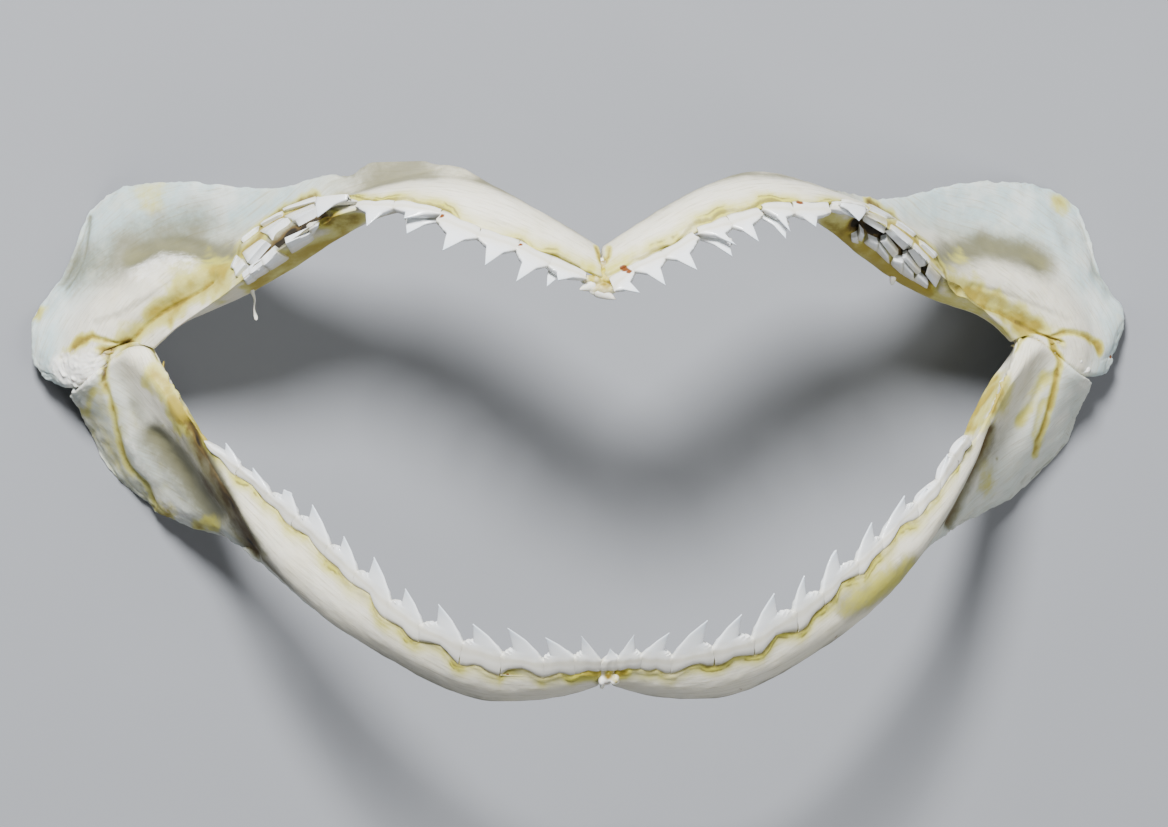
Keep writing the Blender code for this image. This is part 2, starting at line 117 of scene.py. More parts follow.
STATIONS = {
    "upper": records(Station, (
        ((0.0, 17.2, 41.0), (0.3, 21.4, 37.0), (0.4, 20.8, 34.6),
         0.3, 0.6, 0.8, 0.1, 0.0, -0.8, 5.2),
        ((6.2, 20.2, 40.5), (4.5, 24.1, 37.0), (4.6, 23.7, 34.2),
         0.4, 0.9, 0.9, 0.2, 0.0, -0.8, 5.2),
        ((12.0, 23.2, 39.5), (9.4, 27.0, 36.0), (9.5, 26.8, 33.2),
         0.4, 1.0, 0.9, 0.3, 0.0, -0.8, 5.4),
        ((18.4, 25.5, 38.0), (15.2, 29.6, 34.5), (15.2, 29.7, 31.8),
         0.4, 0.9, 0.9, 0.3, 0.0, -0.5, 5.8),
        ((24.5, 26.6, 36.0), (22.4, 29.6, 32.0), (21.6, 31.2, 29.0),
         0.3, 0.6, 1.8, 0.4, 0.0, 0.8, 6.0),
        ((30.5, 25.8, 33.0), (30.4, 27.6, 29.0), (29.4, 29.6, 24.5),
         0.1, 0.2, 3.0, 0.5, 0.0, 3.4, 6.4),
        ((36.8, 22.6, 28.0), (38.2, 24.3, 23.5), (36.6, 28.4, 18.0),
         -0.1, 0.1, 5.5, 0.8, 0.0, 4.2, 6.6),
        ((42.2, 17.4, 23.5), (43.0, 20.7, 18.8), (43.6, 29.4, 12.0),
         -0.6, 0.0, 6.8, 1.6, 0.3, 2.6, 5.8),
        ((46.6, 14.7, 19.0), (48.8, 19.4, 15.5), (52.1, 30.2, 5.2),
         -1.2, -0.3, 7.0, 3.2, 0.4, 1.2, 5.0),
        ((49.9, 12.2, 15.8), (54.6, 18.0, 12.4), (60.4, 28.6, -0.4),
         -1.4, -0.3, 6.2, 3.2, 0.6, 0.6, 4.6),
        ((51.6, 10.6, 13.6), (59.6, 14.4, 9.8), (63.2, 19.4, -0.4),
         -1.3, 0.2, 4.6, 2.0, 0.6, 0.4, 4.2),
        ((52.3, 9.8, 12.6), (62.2, 9.8, 8.6), (68.7, 11.8, 1.6),
         -0.9, 0.4, 2.4, 1.4, 0.5, 0.2, 4.0),
        ((52.6, 9.6, 12.2), (60.6, 6.7, 8.6), (65.0, 6.0, 4.0),
         -0.6, 0.4, 1.6, 1.2, 0.4, 0.2, 3.8),
    )),
    "lower": records(Station, (
        ((0.0, -27.6, 41.0), (0.2, -30.2, 37.0), (0.2, -29.6, 34.8),
         0.3, 0.6, 0.8, 0.1, 0.0, -0.8, 5.2),
        ((5.9, -27.4, 41.3), (4.9, -31.6, 36.5), (4.9, -31.2, 33.8),
         0.4, 1.0, 0.9, 0.2, 0.0, -0.8, 5.2),
        ((11.6, -26.9, 41.0), (11.7, -32.2, 35.5), (11.7, -31.9, 32.8),
         0.5, 1.2, 0.9, 0.3, 0.0, -0.9, 5.4),
        ((17.1, -25.4, 39.7), (17.0, -31.3, 34.5), (17.1, -31.1, 31.6),
         0.5, 1.3, 0.9, 0.3, 0.0, -0.9, 5.4),
        ((23.4, -21.8, 37.5), (23.4, -27.8, 33.5), (23.6, -27.8, 30.4),
         0.5, 1.4, 0.9, 0.3, 0.0, -0.9, 5.2),
        ((29.3, -16.9, 33.5), (29.4, -24.3, 31.0), (29.6, -24.3, 27.6),
         0.5, 1.4, 0.9, 0.3, 0.0, -0.9, 5.0),
        ((34.9, -12.2, 29.0), (35.2, -19.8, 28.0), (35.6, -20.0, 24.0),
         0.5, 1.3, 1.4, 0.3, 0.0, -0.9, 4.8),
        ((40.1, -7.3, 25.0), (40.1, -14.7, 25.0), (41.0, -14.4, 16.0),
         0.4, 1.0, 6.0, 0.6, 0.2, -0.9, 4.6),
        ((46.2, -1.2, 20.5), (44.8, -7.5, 21.5), (47.6, -11.5, 5.2),
         0.2, 0.6, 8.5, 1.2, 1.0, -0.8, 4.4),
        ((49.4, 3.4, 16.8), (48.3, -0.8, 17.6), (56.1, -7.4, -0.8),
         0.1, 0.3, 8.0, 2.4, 3.6, -0.6, 4.0),
        ((51.2, 7.0, 13.8), (51.6, 5.0, 14.6), (61.2, -0.6, 0.2),
         0.1, 0.1, 5.6, 2.4, 3.8, -0.4, 3.8),
        ((52.2, 9.2, 12.0), (56.4, 7.6, 11.6), (62.2, 4.9, 5.0),
         0.1, 0.1, 2.0, 2.0, 3.0, -0.2, 3.6),
    )),
}

# What differs between the two sides: jaw, side, stations, field and change.
SIDE_TWEAKS = (
    ("upper", "left", (3, 4), "edge", (-0.3, 0.9, 0.0)),
    ("upper", "left", (4,), "edge", (-0.6, 1.9, 0.0)),
    ("upper", "left", (5, 6, 7, 8, 9), "edge", (0.0, 0.5, 0.0)),
    ("upper", "left", (10,), "edge", (-0.5, 0.0, 0.0)),
    ("upper", "left", (8, 9, 10), "heel_in", -0.6),
    ("upper", "right", (5, 6), "edge", (0.0, -2.0, 0.0)),
    ("upper", "right", (9,), "edge", (1.4, 0.2, 0.0)),
    ("upper", "right", (10,), "edge", (0.5, 0.0, 0.0)),
    ("upper", "right", (11,), "edge", (0.5, 0.8, 0.0)),
    ("upper", "right", (5, 6, 7), "heel_in", 1.6),
    ("lower", "left", (9, 10), "tooth", (-0.6, 0.2, 0.0)),
    ("lower", "left", (9,), "edge", (-0.4, 0.3, 0.0)),
    ("lower", "left", (10,), "edge", (-0.9, 0.2, 0.0)),
    ("lower", "right", (7, 8), "tooth", (0.5, -0.4, 0.0)),
    ("lower", "right", (9, 10), "edge", (0.4, -0.3, 0.0)),
    ("lower", "right", (10, 11), "tooth", (0.5, 0.0, 0.0)),
)

# ---- teeth, set one by one: places along the half of the tooth's two ends, how far
# the ends stand inward of the bar's edge, then how far along the tip is from the
# tooth's middle (share of the width), how high it stands as it is now, seen along
# the camera's line, and the share of the whole crown that this is.
Tooth = namedtuple("Tooth", "start end rise_start rise_end tip height kept")

TEETH = {
    ("lower", "left"): records(Tooth, (
        (0.24, 0.71, 0.6, 0.8, 0.42, 2.5, 1.0), (0.71, 1.32, 0.8, 0.3, 0.33, 2.6, 1.0),
        (1.32, 2.15, 0.3, 0.5, 0.48, 3.1, 1.0), (2.17, 3.00, 0.5, 0.5, 0.32, 2.4, 1.0),
        (3.02, 3.74, 0.5, 0.2, 0.24, 2.8, 1.0), (3.74, 4.34, 0.2, 0.3, 0.26, 2.1, 1.0),
        (4.34, 5.01, 0.3, 0.5, 0.28, 2.4, 1.0), (5.01, 5.59, 0.5, 0.9, 0.26, 1.8, 1.0),
        (5.59, 6.29, 0.9, 1.1, 0.30, 2.0, 1.0), (6.30, 6.89, 1.1, 0.9, 0.21, 1.3, 0.7),
        (6.89, 7.42, 0.9, 0.8, 0.20, 0.8, 1.0), (7.43, 8.00, 0.8, 0.1, 0.05, 1.1, 1.0),
    )),
    ("lower", "right"): records(Tooth, (
        (0.26, 0.68, 0.7, 0.9, 0.31, 2.5, 1.0), (0.68, 1.27, 0.9, 0.5, 0.27, 2.8, 1.0),
        (1.28, 2.14, 0.5, 0.9, 0.44, 3.4, 1.0), (2.17, 3.02, 0.9, 0.6, 0.20, 3.0, 1.0),
        (3.04, 3.85, 0.6, 0.8, 0.22, 3.1, 1.0), (3.87, 4.41, 0.8, 0.3, 0.06, 2.7, 1.0),
        (4.42, 5.18, 0.3, 0.0, 0.14, 2.5, 0.85), (5.18, 5.76, 0.0, -0.1, 0.35, 2.1, 1.0),
        (5.76, 6.61, -0.1, 0.3, 0.32, 1.6, 1.0), (6.61, 7.14, 0.3, 0.4, 0.07, 0.4, 1.0),
        (7.14, 7.52, 0.4, 1.4, 0.39, 0.5, 1.0), (7.53, 7.86, 1.4, 1.5, 0.33, 0.1, 1.0),
    )),
    ("upper", "left"): records(Tooth, (
        (0.41, 0.99, 0.7, 1.2, 0.14, 1.2, 1.0), (0.98, 1.62, 1.2, 1.2, 0.03, 3.4, 1.0),
        (1.63, 2.33, 1.2, 1.7, 0.10, 2.9, 1.0), (2.35, 3.08, 1.7, 1.3, 0.05, 2.9, 1.0),
        (3.09, 3.97, 0.3, 0.5, 0.22, 1.0, 1.0), (3.98, 4.67, 0.5, 0.0, 0.09, 2.0, 1.0),
        (4.68, 5.23, -0.8, -2.1, 0.43, 0.8, 1.0),
    )),
    ("upper", "right"): records(Tooth, (
        (0.15, 0.59, 1.5, 0.5, -0.08, 2.0, 1.0), (0.59, 1.12, 0.5, 0.8, 0.12, 2.8, 1.0),
        (1.12, 1.79, 0.8, 0.7, -0.05, 2.9, 1.0), (1.90, 2.46, 0.2, 0.9, 0.43, 2.2, 1.0),
        (2.47, 3.04, 0.9, 0.8, -0.05, 2.6, 1.0), (3.13, 3.67, 0.2, 1.4, 0.37, 2.2, 1.0),
        (3.71, 4.44, 1.4, 1.4, -0.01, 1.5, 1.0), (4.53, 5.25, 0.9, -0.5, 0.11, 0.9, 1.0),
    )),
}

# The wavy line where the roots meet the cartilage: place along the half, and
# how far down the bar's face from its edge.
GUM_LINES = {
    ("lower", "left"): (
        (0.18, 1.4), (0.51, 1.1), (0.65, 1.8), (0.77, 2.1), (0.95, 1.5), (1.14, 1.9), (1.32, 2.5),
        (1.43, 2.2), (1.64, 1.1), (1.82, 1), (2.03, 1.6), (2.16, 2.8), (2.43, 2.4), (2.67, 1.7),
        (2.9, 2.7), (3.05, 2.8), (3.2, 1.8), (3.34, 1.1), (3.47, 1.2), (3.64, 1.8), (3.79, 2.5),
        (3.95, 2.3), (4.07, 1.7), (4.36, 2.3), (4.52, 2.2), (4.69, 0.6), (4.99, 1.3), (5.17, 1.2),
        (5.32, 0.6), (5.56, 0.7), (5.75, 0.4), (5.96, -0.3), (6.19, 0.3), (6.43, 0.5),
        (6.64, -0.2), (6.88, 0.3), (7, -0.1), (7.2, -0.3), (7.36, 0.3), (7.53, 0.7), (7.68, 0),
        (7.9, 0.6),
    ),
    ("lower", "right"): (
        (0.32, 1.2), (0.47, 0.8), (0.66, 1), (0.83, 1.4), (0.99, 1.1), (1.2, 2), (1.35, 2.2),
        (1.44, 1.6), (1.64, 0.9), (1.85, 0.7), (2.03, 1.4), (2.19, 1.6), (2.37, 1.5), (2.58, 0.9),
        (2.78, 1.1), (3.01, 1.9), (3.17, 2.1), (3.26, 1.6), (3.4, 0.7), (3.49, 0.5), (3.68, 1.2),
        (3.89, 2.3), (4.04, 2.2), (4.16, 1.5), (4.22, 1.3), (4.51, 1.6), (4.64, 1.6), (4.75, 0.5),
        (4.87, 0.7), (5.11, 1.5), (5.29, 2.3), (5.48, 1.6), (5.59, 1.4), (5.81, 1.7), (5.99, 1.6),
        (6.13, 0.7), (6.28, 0.7), (6.57, 1.7), (6.73, 1.6), (6.85, 1.1), (7.09, 1.4), (7.21, 0.8),
        (7.36, 0.5), (7.56, 0.5), (7.66, -0.6), (7.8, -0.4), (8.01, -0.3),
    ),
    ("upper", "left"): (
        (0.18, 0.4), (0.35, 0.2), (0.54, 0.4), (0.74, 0.4), (0.95, 0.4), (1.19, -0.2), (1.4, -0.3),
        (1.62, 0.2), (1.83, -0.4), (1.98, -0.7), (2.36, -0.8), (2.72, -0.6), (2.94, 0.3),
        (3.14, 0.7), (3.35, 0.8), (3.58, 0.8), (3.76, 1.4), (3.97, 1.3), (4.13, 1.3), (4.28, 0.8),
        (4.49, 1.6), (4.7, 3), (4.87, 5.2), (5.05, 6.5),
    ),
    ("upper", "right"): (
        (0.44, 0.7), (0.62, 1), (0.78, 0.5), (0.98, 0.7), (1.17, 0.5), (1.38, 0.2), (1.55, 0.4),
        (1.71, 0.9), (1.92, 1.4), (2.19, 0.9), (2.39, 1.3), (2.58, 1.2), (2.79, 0.7), (3.02, 0.7),
        (3.2, 1.2), (3.41, 1), (3.58, 0.3), (3.85, 0.2), (3.97, -0.3), (4.18, -0.6), (4.43, 0.2),
        (4.64, 0.7),
    ),
}

CROWN_RISE = 0.62          # share of a crown that points up, away from the floor
CROWN_REACH = math.sqrt(1.0 - CROWN_RISE ** 2)

# Teeth of the next row whose tips show behind the upper row.
SECOND_ROW = {
    "left": records(Tooth, (
        (0.69, 0.96, -0.0, 0.2, 0.29, 2.3, 1.0), (3.15, 3.74, 0.1, 0.6, 0.40, 1.8, 1.0),
        (4.75, 5.28, -1.0, -1.8, 0.35, 1.6, 1.0),
    )),
    "right": records(Tooth, (
        (1.89, 2.37, -0.4, 1.7, 0.65, 1.5, 1.0), (3.14, 3.56, 0.0, 1.7, 0.63, 1.6, 1.0),
        (4.65, 5.16, 0.6, 0.2, 0.11, 1.3, 1.0),
    )),
}

# The small tooth in the middle of the lower jaw.
MIDDLE_TOOTH = Tooth(-0.25, 0.26, 0.6, 0.7, -0.05, 1.2, 1.0)

# Rear rows of the upper jaw: four corners of each small folded crown.
TILES = {
    "left": (
        ((-36.7, 26.7, 18.8), (-32.9, 28.0, 22.3), (-32.5, 27.3, 23.6), (-36.4, 26.3, 19.4)),
        ((-39.3, 25.0, 16.8), (-36.7, 26.4, 18.9), (-36.7, 25.8, 19.4), (-39.1, 24.6, 17.6)),
        ((-41.7, 23.1, 16.1), (-39.5, 24.7, 16.7), (-39.7, 24.1, 17.5), (-41.5, 22.7, 17.6)),
        ((-43.1, 19.6, 20.3), (-42.3, 21.2, 19.9), (-42.0, 20.8, 20.9), (-42.6, 19.4, 21.0)),
        ((-36.6, 25.7, 19.8), (-32.6, 27.2, 23.9), (-32.9, 26.1, 27.9), (-35.4, 24.8, 26.5)),
        ((-39.5, 24.0, 18.3), (-36.8, 25.5, 20.0), (-36.1, 25.2, 23.5), (-38.5, 23.2, 23.8)),
        ((-41.7, 21.4, 20.6), (-39.4, 23.0, 22.1), (-38.7, 22.5, 24.2), (-40.9, 20.0, 22.9)),
        ((-42.8, 19.9, 20.5), (-41.7, 20.7, 21.5), (-41.1, 19.9, 22.6), (-42.3, 18.5, 21.8)),
        ((-34.2, 24.5, 27.8), (-33.6, 23.2, 27.4), (-32.9, 24.2, 28.6), (-32.8, 24.8, 29.2)),
        ((-35.9, 21.3, 25.0), (-33.5, 22.8, 26.9), (-33.9, 23.8, 28.8), (-36.7, 22.6, 27.2)),
        ((-38.5, 19.4, 22.8), (-36.4, 20.7, 24.3), (-37.9, 21.6, 26.4), (-39.4, 20.2, 25.3)),
        ((-40.3, 18.3, 21.7), (-38.7, 19.2, 22.5), (-39.5, 20.2, 25.1), (-41.0, 19.2, 23.4)),
        ((-41.2, 17.7, 21.1), (-40.1, 18.3, 21.6), (-40.9, 19.2, 23.6), (-41.7, 18.5, 22.9)),
    ),
    "right": (
        ((33.5, 26.6, 21.7), (36.3, 24.7, 24.7), (35.0, 24.6, 27.4), (32.6, 25.6, 29.5)),
        ((36.5, 24.5, 25.0), (39.0, 22.8, 23.4), (38.5, 22.5, 24.5), (36.2, 24.0, 26.4)),
        ((39.3, 22.2, 23.6), (41.8, 20.4, 21.5), (41.1, 19.9, 22.6), (39.3, 21.5, 24.2)),
        ((31.9, 25.3, 31.1), (35.0, 24.3, 28.0), (34.5, 23.2, 28.1), (31.7, 24.7, 30.2)),
        ((35.5, 24.0, 27.6), (38.4, 22.0, 25.0), (37.6, 21.1, 25.8), (35.0, 23.3, 28.6)),
        ((38.6, 21.8, 25.1), (40.7, 19.8, 23.3), (39.8, 19.0, 23.1), (38.1, 21.0, 25.8)),
        ((40.4, 19.3, 24.4), (42.1, 17.9, 22.6), (41.8, 16.9, 20.6), (40.3, 18.5, 22.6)),
        ((31.5, 22.3, 26.9), (32.1, 22.1, 26.6), (32.2, 23.0, 27.8), (31.6, 23.6, 28.6)),
        ((30.9, 22.1, 26.6), (31.7, 21.9, 26.4), (31.4, 22.9, 27.7), (30.7, 22.8, 27.6)),
        ((32.4, 21.9, 26.4), (34.0, 20.9, 25.0), (34.0, 22.0, 26.5), (32.8, 22.5, 27.1)),
        ((34.0, 20.9, 25.0), (35.7, 19.5, 23.2), (35.5, 20.4, 24.4), (34.2, 21.9, 26.3)),
        ((36.0, 19.4, 23.0), (37.5, 18.2, 21.6), (37.4, 19.8, 23.8), (36.2, 20.1, 24.1)),
        ((37.5, 18.2, 21.6), (39.0, 17.4, 20.8), (38.8, 18.4, 22.1), (37.5, 19.7, 23.6)),
        ((39.0, 17.4, 20.8), (40.7, 16.5, 19.7), (40.7, 17.2, 20.7), (39.4, 18.3, 22.0)),
        ((36.1, 20.2, 24.1), (36.6, 20.7, 24.9), (35.1, 22.4, 27.0), (34.4, 22.2, 26.6)),
        ((39.1, 18.3, 22.0), (39.6, 18.6, 22.5), (37.7, 20.5, 24.8), (37.3, 20.3, 24.4)),
    ),
}

SHEATHED = {"left": 8, "right": 7}      # how many of these keep yellow tissue at their roots

# Lines and patches on the cartilages, seen from above: half-width, then how
# strong its yellow stain, brown core, grey shade and chalky crumbs are, how far
# it stands up (-: is sunk), and its line. A single point is a spot. The grey
# shade is mostly painted shade in hollows, creases and on sides turned from the
# light, partly grey tone; some brown cores are painted shadow in deep recesses.
Stroke = namedtuple("Stroke", "width stain brown shade chalk lift line")

STROKES = records(Stroke, (
    # upper left plate
    # painted shade: a broad darkening over the left upper plate, where it turns from the light
    (3.2, 0, 0, 0.72, 0, 0, ((-61.0, 20.5), (-57.3, 21.0), (-53.6, 23.4), (-47.5, 24.5))),
    (1.9, 0.35, 0, 0, 0, 0, ((-53.5, 28.8), (-51.1, 28.6))),
    (0.35, 0, 0, 0.7, 0, -0.15, ((-59.8, 26.5), (-60.2, 24.3), (-60.7, 21.7), (-61.8, 19.1),
     (-62.7, 17.9))),
    # painted shade in the fossa below the crest, sunk a little
    (2.1, 0.1, 0, 0.95, 0, -0.6, ((-54.7, 21.3), (-53.1, 21.9), (-50.9, 22.6), (-49.2, 22.6),
     (-47.1, 22.0), (-45.0, 21.3), (-43.0, 21.2))),
    (1.5, 0, 0, 0, 0.4, 0.55, ((-53.7, 19.0), (-51.0, 20.7), (-47.8, 20.3))),
    (2, 0.75, 0, 0, 0, 0, ((-49.1, 17.3), (-46.5, 17.8), (-44.8, 19.3))),
    (0.5, 0, 0, 0.4, 0, -0.12, ((-49.4, 19.2), (-50.5, 18.1), (-53.2, 16.0), (-56.2, 14.4),
     (-59.0, 13.5))),
    (1.5, 0.8, 0, 0, 0, -0.5, ((-45.6, 18.4), (-46.8, 17.4), (-49.0, 16.1), (-51.1, 14.9),
     (-52.8, 13.6), (-54.3, 12.1), (-55.4, 11.0), (-56.2, 10.2))),
    (0.38, 1, 0.42, 0, 0, -0.3, ((-45.6, 18.0), (-46.8, 17.0), (-49.0, 15.7), (-51.1, 14.5),
     (-52.8, 13.2), (-54.3, 11.7), (-55.4, 10.6), (-56.2, 9.8), (-57.3, 9.5), (-58.7, 8.8),
     (-59.0, 8.4))),
    (1.4, 1, 0.75, 0, 0, -0.2, ((-57.6, 9.2), (-56.4, 9.9), (-55.2, 10.8))),
    (0.6, 0.7, 0.7, 0, 0, -0.2, ((-55.4, 10.4), (-54.1, 10.0), (-52.4, 9.2), (-51.6, 8.5))),
    (0.6, 0.6, 0.6, 0, 0, -0.15, ((-56.7, 9.2), (-57.6, 8.1), (-58.1, 6.8), (-58.2, 5.4))),
    (0.5, 1, 0.42, 0, 0, -0.25, ((-63.1, 9.1), (-62.5, 9.5), (-61.7, 10.6), (-60.8, 11.2),
     (-59.7, 11.7), (-58.4, 11.3), (-56.8, 10.7))),
    (0.7, 0.8, 0.3, 0, 0, 0, ((-62.5, 9.5),)),
    (1.7, 0.1, 0, 0, 0.9, 0.25, ((-62.7, 8.0), (-61.5, 7.3), (-60.1, 7.7))),
    (0.8, 0.7, 0.3, 0, 0, 0, ((-66.0, 15.0),)),
    # upper left flange
    # painted shade along the fold where the flange passes behind the crest
    (0.5, 0.1, 0, 0.55, 0, -0.2, ((-18.3, 31.3), (-19.4, 30.9), (-22.7, 30.3), (-25.4, 29.6),
     (-28.8, 28.4), (-30.6, 28.1))),
    # upper right plate
    (1.2, 0.6, 0, 0, 0, 0, ((59.9, 27.0),)),
    (0.9, 0, 0, 0.35, 0, -0.1, ((58.4, 25.5), (59.3, 23.7), (60.0, 21.8))),
    # painted shade in the fossa below the crest, sunk a little
    (2.1, 0.1, 0, 0.9, 0, -0.6, ((43.2, 20.3), (46.0, 21.1), (49.0, 21.7), (51.5, 21.4),
     (54.2, 21.0), (56.3, 19.7))),
    (1.2, 0.5, 0, 0, 0, 0, ((45.5, 20.6),)),
    (0.3, 0, 0, 0.4, 0, -0.05, ((49.6, 24.0), (50.1, 23.4))),
    (0.3, 0, 0, 0.4, 0, -0.05, ((50.6, 23.8), (51.1, 23.1))),
    (1.5, 0.8, 0, 0, 0, -0.5, ((43.8, 16.6), (46.1, 16.0), (47.9, 14.9), (50.7, 13.9), (53.3, 12.4),
     (55.5, 11.1))),
    (0.4, 1, 0.36, 0, 0, -0.3, ((43.8, 16.2), (46.1, 15.6), (47.9, 14.5), (50.7, 13.5),
     (53.3, 12.0), (55.5, 10.7), (56.9, 9.8), (58.4, 9.4))),
    (0.7, 1, 0.5, 0, 0, -0.15, ((56.0, 10.2), (56.9, 9.8), (58.4, 9.4))),
    (0.5, 0, 0, 0.35, 0, -0.15, ((46.7, 16.8), (50.7, 15.8), (54.4, 14.5), (59.5, 12.5))),
    (0.5, 0.9, 0.3, 0, 0, -0.25, ((57.4, 10.4), (58.7, 11.0), (60.1, 11.0), (61.8, 10.6),
     (63.2, 9.7), (63.7, 8.9))),
    (1, 0.6, 0, 0.25, 0, 0, ((35.6, 18.3), (39.6, 16.0), (43.5, 14.8), (47.1, 13.5), (50.6, 11.1),
     (51.9, 8.8))),
    # lower left plate
    (2.0, 0.3, 0, 0, 0, 0, ((-59.3, 4.0), (-58.0, 0.0), (-55.8, -3.6), (-53.0, -7.4))),
    (1.1, 0.95, 0.1, 0, 0, 0.15, ((-52.0, 6.4), (-50.7, 4.9), (-49.7, 3.2), (-49.0, 2.1),
     (-48.0, 1.0), (-46.7, -0.1), (-46.1, -1.0))),
    (1.3, 0, 0, 0.4, 0, 0, ((-55.4, 7.1), (-53.8, 6.9))),
    (0.45, 0.7, 0.3, 0, 0, -0.3, ((-58.1, 6.7), (-58.2, 5.4), (-57.5, 3.3), (-57.1, 1.5),
     (-56.8, 0.0), (-56.3, -1.3), (-55.9, -2.8), (-55.2, -4.0), (-54.1, -5.1), (-53.0, -6.2),
     (-52.5, -7.3), (-51.9, -8.4), (-51.8, -9.7))),
    (0.7, 0.6, 0.1, 0, 0, 0, ((-59.6, 4.5), (-60.2, 2.6))),
    (0.9, 0.9, 0.35, 0, 0, 0, ((-51.7, -9.0), (-50.6, -9.7))),
    (0.8, 0.75, 0.1, 0, 0, 0, ((-46.8, -11.2), (-45.9, -10.7), (-45.3, -11.6))),
    (0.5, 0.5, 0.6, 0, 0, 0, ((-42.6, -10.3),)),
    # painted shade along a crease, in the fossa and in the crevice beside the bar; the crevice also
    # has some brown stain
    (1.2, 0.05, 0, 0.4, 0, -0.15, ((-54.8, 2.6), (-53.7, 1.0), (-51.2, -1.0))),
    (1.9, 0.05, 0, 0.95, 0, -0.5, ((-52.2, -0.6), (-51.2, -1.6), (-48.8, -4.6), (-46.6, -7.8),
     (-45.0, -10.0))),
    (1.2, 0.2, 0.75, 1, 0, -0.6, ((-48.4, 1.0), (-47.5, -1.0), (-46.4, -3.5), (-45.1, -5.9),
     (-43.9, -8.4), (-42.7, -10.9), (-41.6, -12.9), (-40.7, -14.8))),
    (0.7, 0, 0, 0, 0.35, 0.2, ((-55.2, -1.0), (-53.8, -3.5), (-52.3, -5.8), (-51.4, -7.7),
     (-49.6, -8.9), (-47.8, -9.7))),
    (0.3, 0.4, 0.6, 0, 0, 0, ((-56.2, 0.4),)),
    (0.3, 0.4, 0.6, 0, 0, 0, ((-51.1, 0.9),)),
    # lower right plate
    (0.5, 0.8, 0.35, 0, 0, -0.25, ((52.2, 8.4), (53.5, 9.2), (55.6, 10.4))),
    (0.5, 1, 0.3, 0, 0, -0.25, ((57.0, 9.4), (57.4, 7.7), (58.2, 6.6), (58.2, 5.9), (57.9, 5.2),
     (57.7, 3.8), (57.3, 1.8), (56.8, 0.3), (56.3, -1.2), (55.8, -2.3), (55.8, -3.9))),
    (0.45, 1, 0.55, 0, 0, 0, ((58.0, 5.5), (57.9, 4.8))),
    (0.8, 0.5, 0, 0.3, 0, -0.15, ((57.5, 4.8), (56.1, 4.1), (54.3, 1.4), (53.1, 0.3))),
    (0.6, 0.5, 0.1, 0.2, 0, -0.1, ((56.2, 2.0), (55.6, -0.1), (55.3, -1.4))),
    (1.3, 0.6, 0, 0, 0, 0, ((50.8, 4.1), (50.5, 2.2))),
    (1, 0.95, 0.1, 0, 0, 0.15, ((50.5, 5.2), (49.3, 3.4), (48.2, 1.7), (46.7, -0.3))),
    # painted shade in the crevice beside the bar, with some brown stain
    (1.0, 0.2, 0.8, 1, 0, -0.6, ((48.9, -0.8), (48.1, -2.8), (47.2, -5.1), (46.2, -7.0),
     (45.2, -8.8), (44.6, -10.4), (43.9, -12.0))),
    (1.3, 0.4, 0, 0.35, 0, 0, ((49.0, -5.2), (48.9, -7.4))),
    (0.4, 0.3, 0.6, 0.3, 0, 0, ((50.3, -4.2),)),
    # lower bars
    # painted shade along the bar's lower edge, with some yellow stain
    (1.5, 0.45, 0, 0.8, 0, 0, ((37.4, -16.9), (33.4, -19.6), (28.9, -21.5))),
    # rear rows of the upper jaw
    # the gaps between the rows: painted shadow of the recess over dark tissue, sunk
    (1.4, 0.2, 1, 0.9, 0, -0.9, ((-40.6, 20.0), (-39.5, 21.2), (-38.3, 22.5), (-37.4, 22.9),
     (-36.2, 24.1), (-35.1, 24.4), (-33.9, 25.1), (-32.5, 25.5))),
    (1.4, 0.2, 1, 0.9, 0, -0.9, ((31.1, 23.8), (32.7, 23.2), (34.2, 22.6), (35.5, 21.8),
     (36.8, 20.9), (37.9, 20.0), (39.0, 19.1), (40.1, 18.1), (41.2, 17.1))),
    (0.5, 0.6, 0.55, 0.4, 0, 0, ((-42.8, 21.0), (-41.7, 22.6), (-40.5, 23.6), (-39.4, 24.7),
     (-37.9, 25.9), (-36.7, 26.7), (-34.7, 27.5), (-32.9, 28.0))),
    (0.5, 0.6, 0.55, 0.4, 0, 0, ((33.5, 26.7), (35.1, 26.1), (36.6, 25.4), (37.4, 23.9),
     (39.0, 22.7), (40.3, 21.8), (41.8, 20.4), (42.6, 18.8), (42.8, 17.2))),
    (0.6, 0.9, 0.35, 0.3, 0, 0, ((-41.7, 21.5), (-39.8, 23.1), (-38.6, 24.5), (-37.0, 25.6),
     (-34.4, 26.7), (-32.7, 27.3))),
    (0.6, 0.9, 0.35, 0.3, 0, 0, ((32.2, 25.6), (34.0, 24.5), (36.1, 23.9), (37.7, 22.9),
     (38.6, 22.2), (40.0, 20.7), (41.3, 19.7))),
    # ochre stain with painted shade on the lingual wall below the last teeth
    (1.1, 0.9, 0.4, 0.4, 0, 0, ((-32.1, 25.0), (-30.4, 24.5), (-28.8, 25.2))),
    (1.1, 0.9, 0.4, 0.4, 0, 0, ((27.9, 24.3), (29.5, 23.4), (30.4, 23.6))),
    (1.4, 1, 0, 0.2, 0, 0, ((-29.7, 23.1), (-31.4, 22.3), (-33.5, 21.6), (-34.9, 20.7),
     (-36.7, 19.9), (-38.5, 18.8), (-40.0, 17.7))),
    (1.4, 1, 0, 0.2, 0, 0, ((29.2, 22.2), (31.1, 21.3), (33.4, 20.1), (35.3, 19.0), (37.3, 17.8),
     (39.3, 16.9), (40.9, 16.1))),
    (0.6, 0.8, 0.4, 0.3, 0, 0, ((41.5, 19.3), (42.0, 18.6))),
    # symphyses
    (0.9, 0.95, 0.25, 0, 0, 0.1, ((-3.5, -28.5), (-2.1, -28.4), (-0.9, -28.4), (0.7, -28.7),
     (1.9, -28.5))),
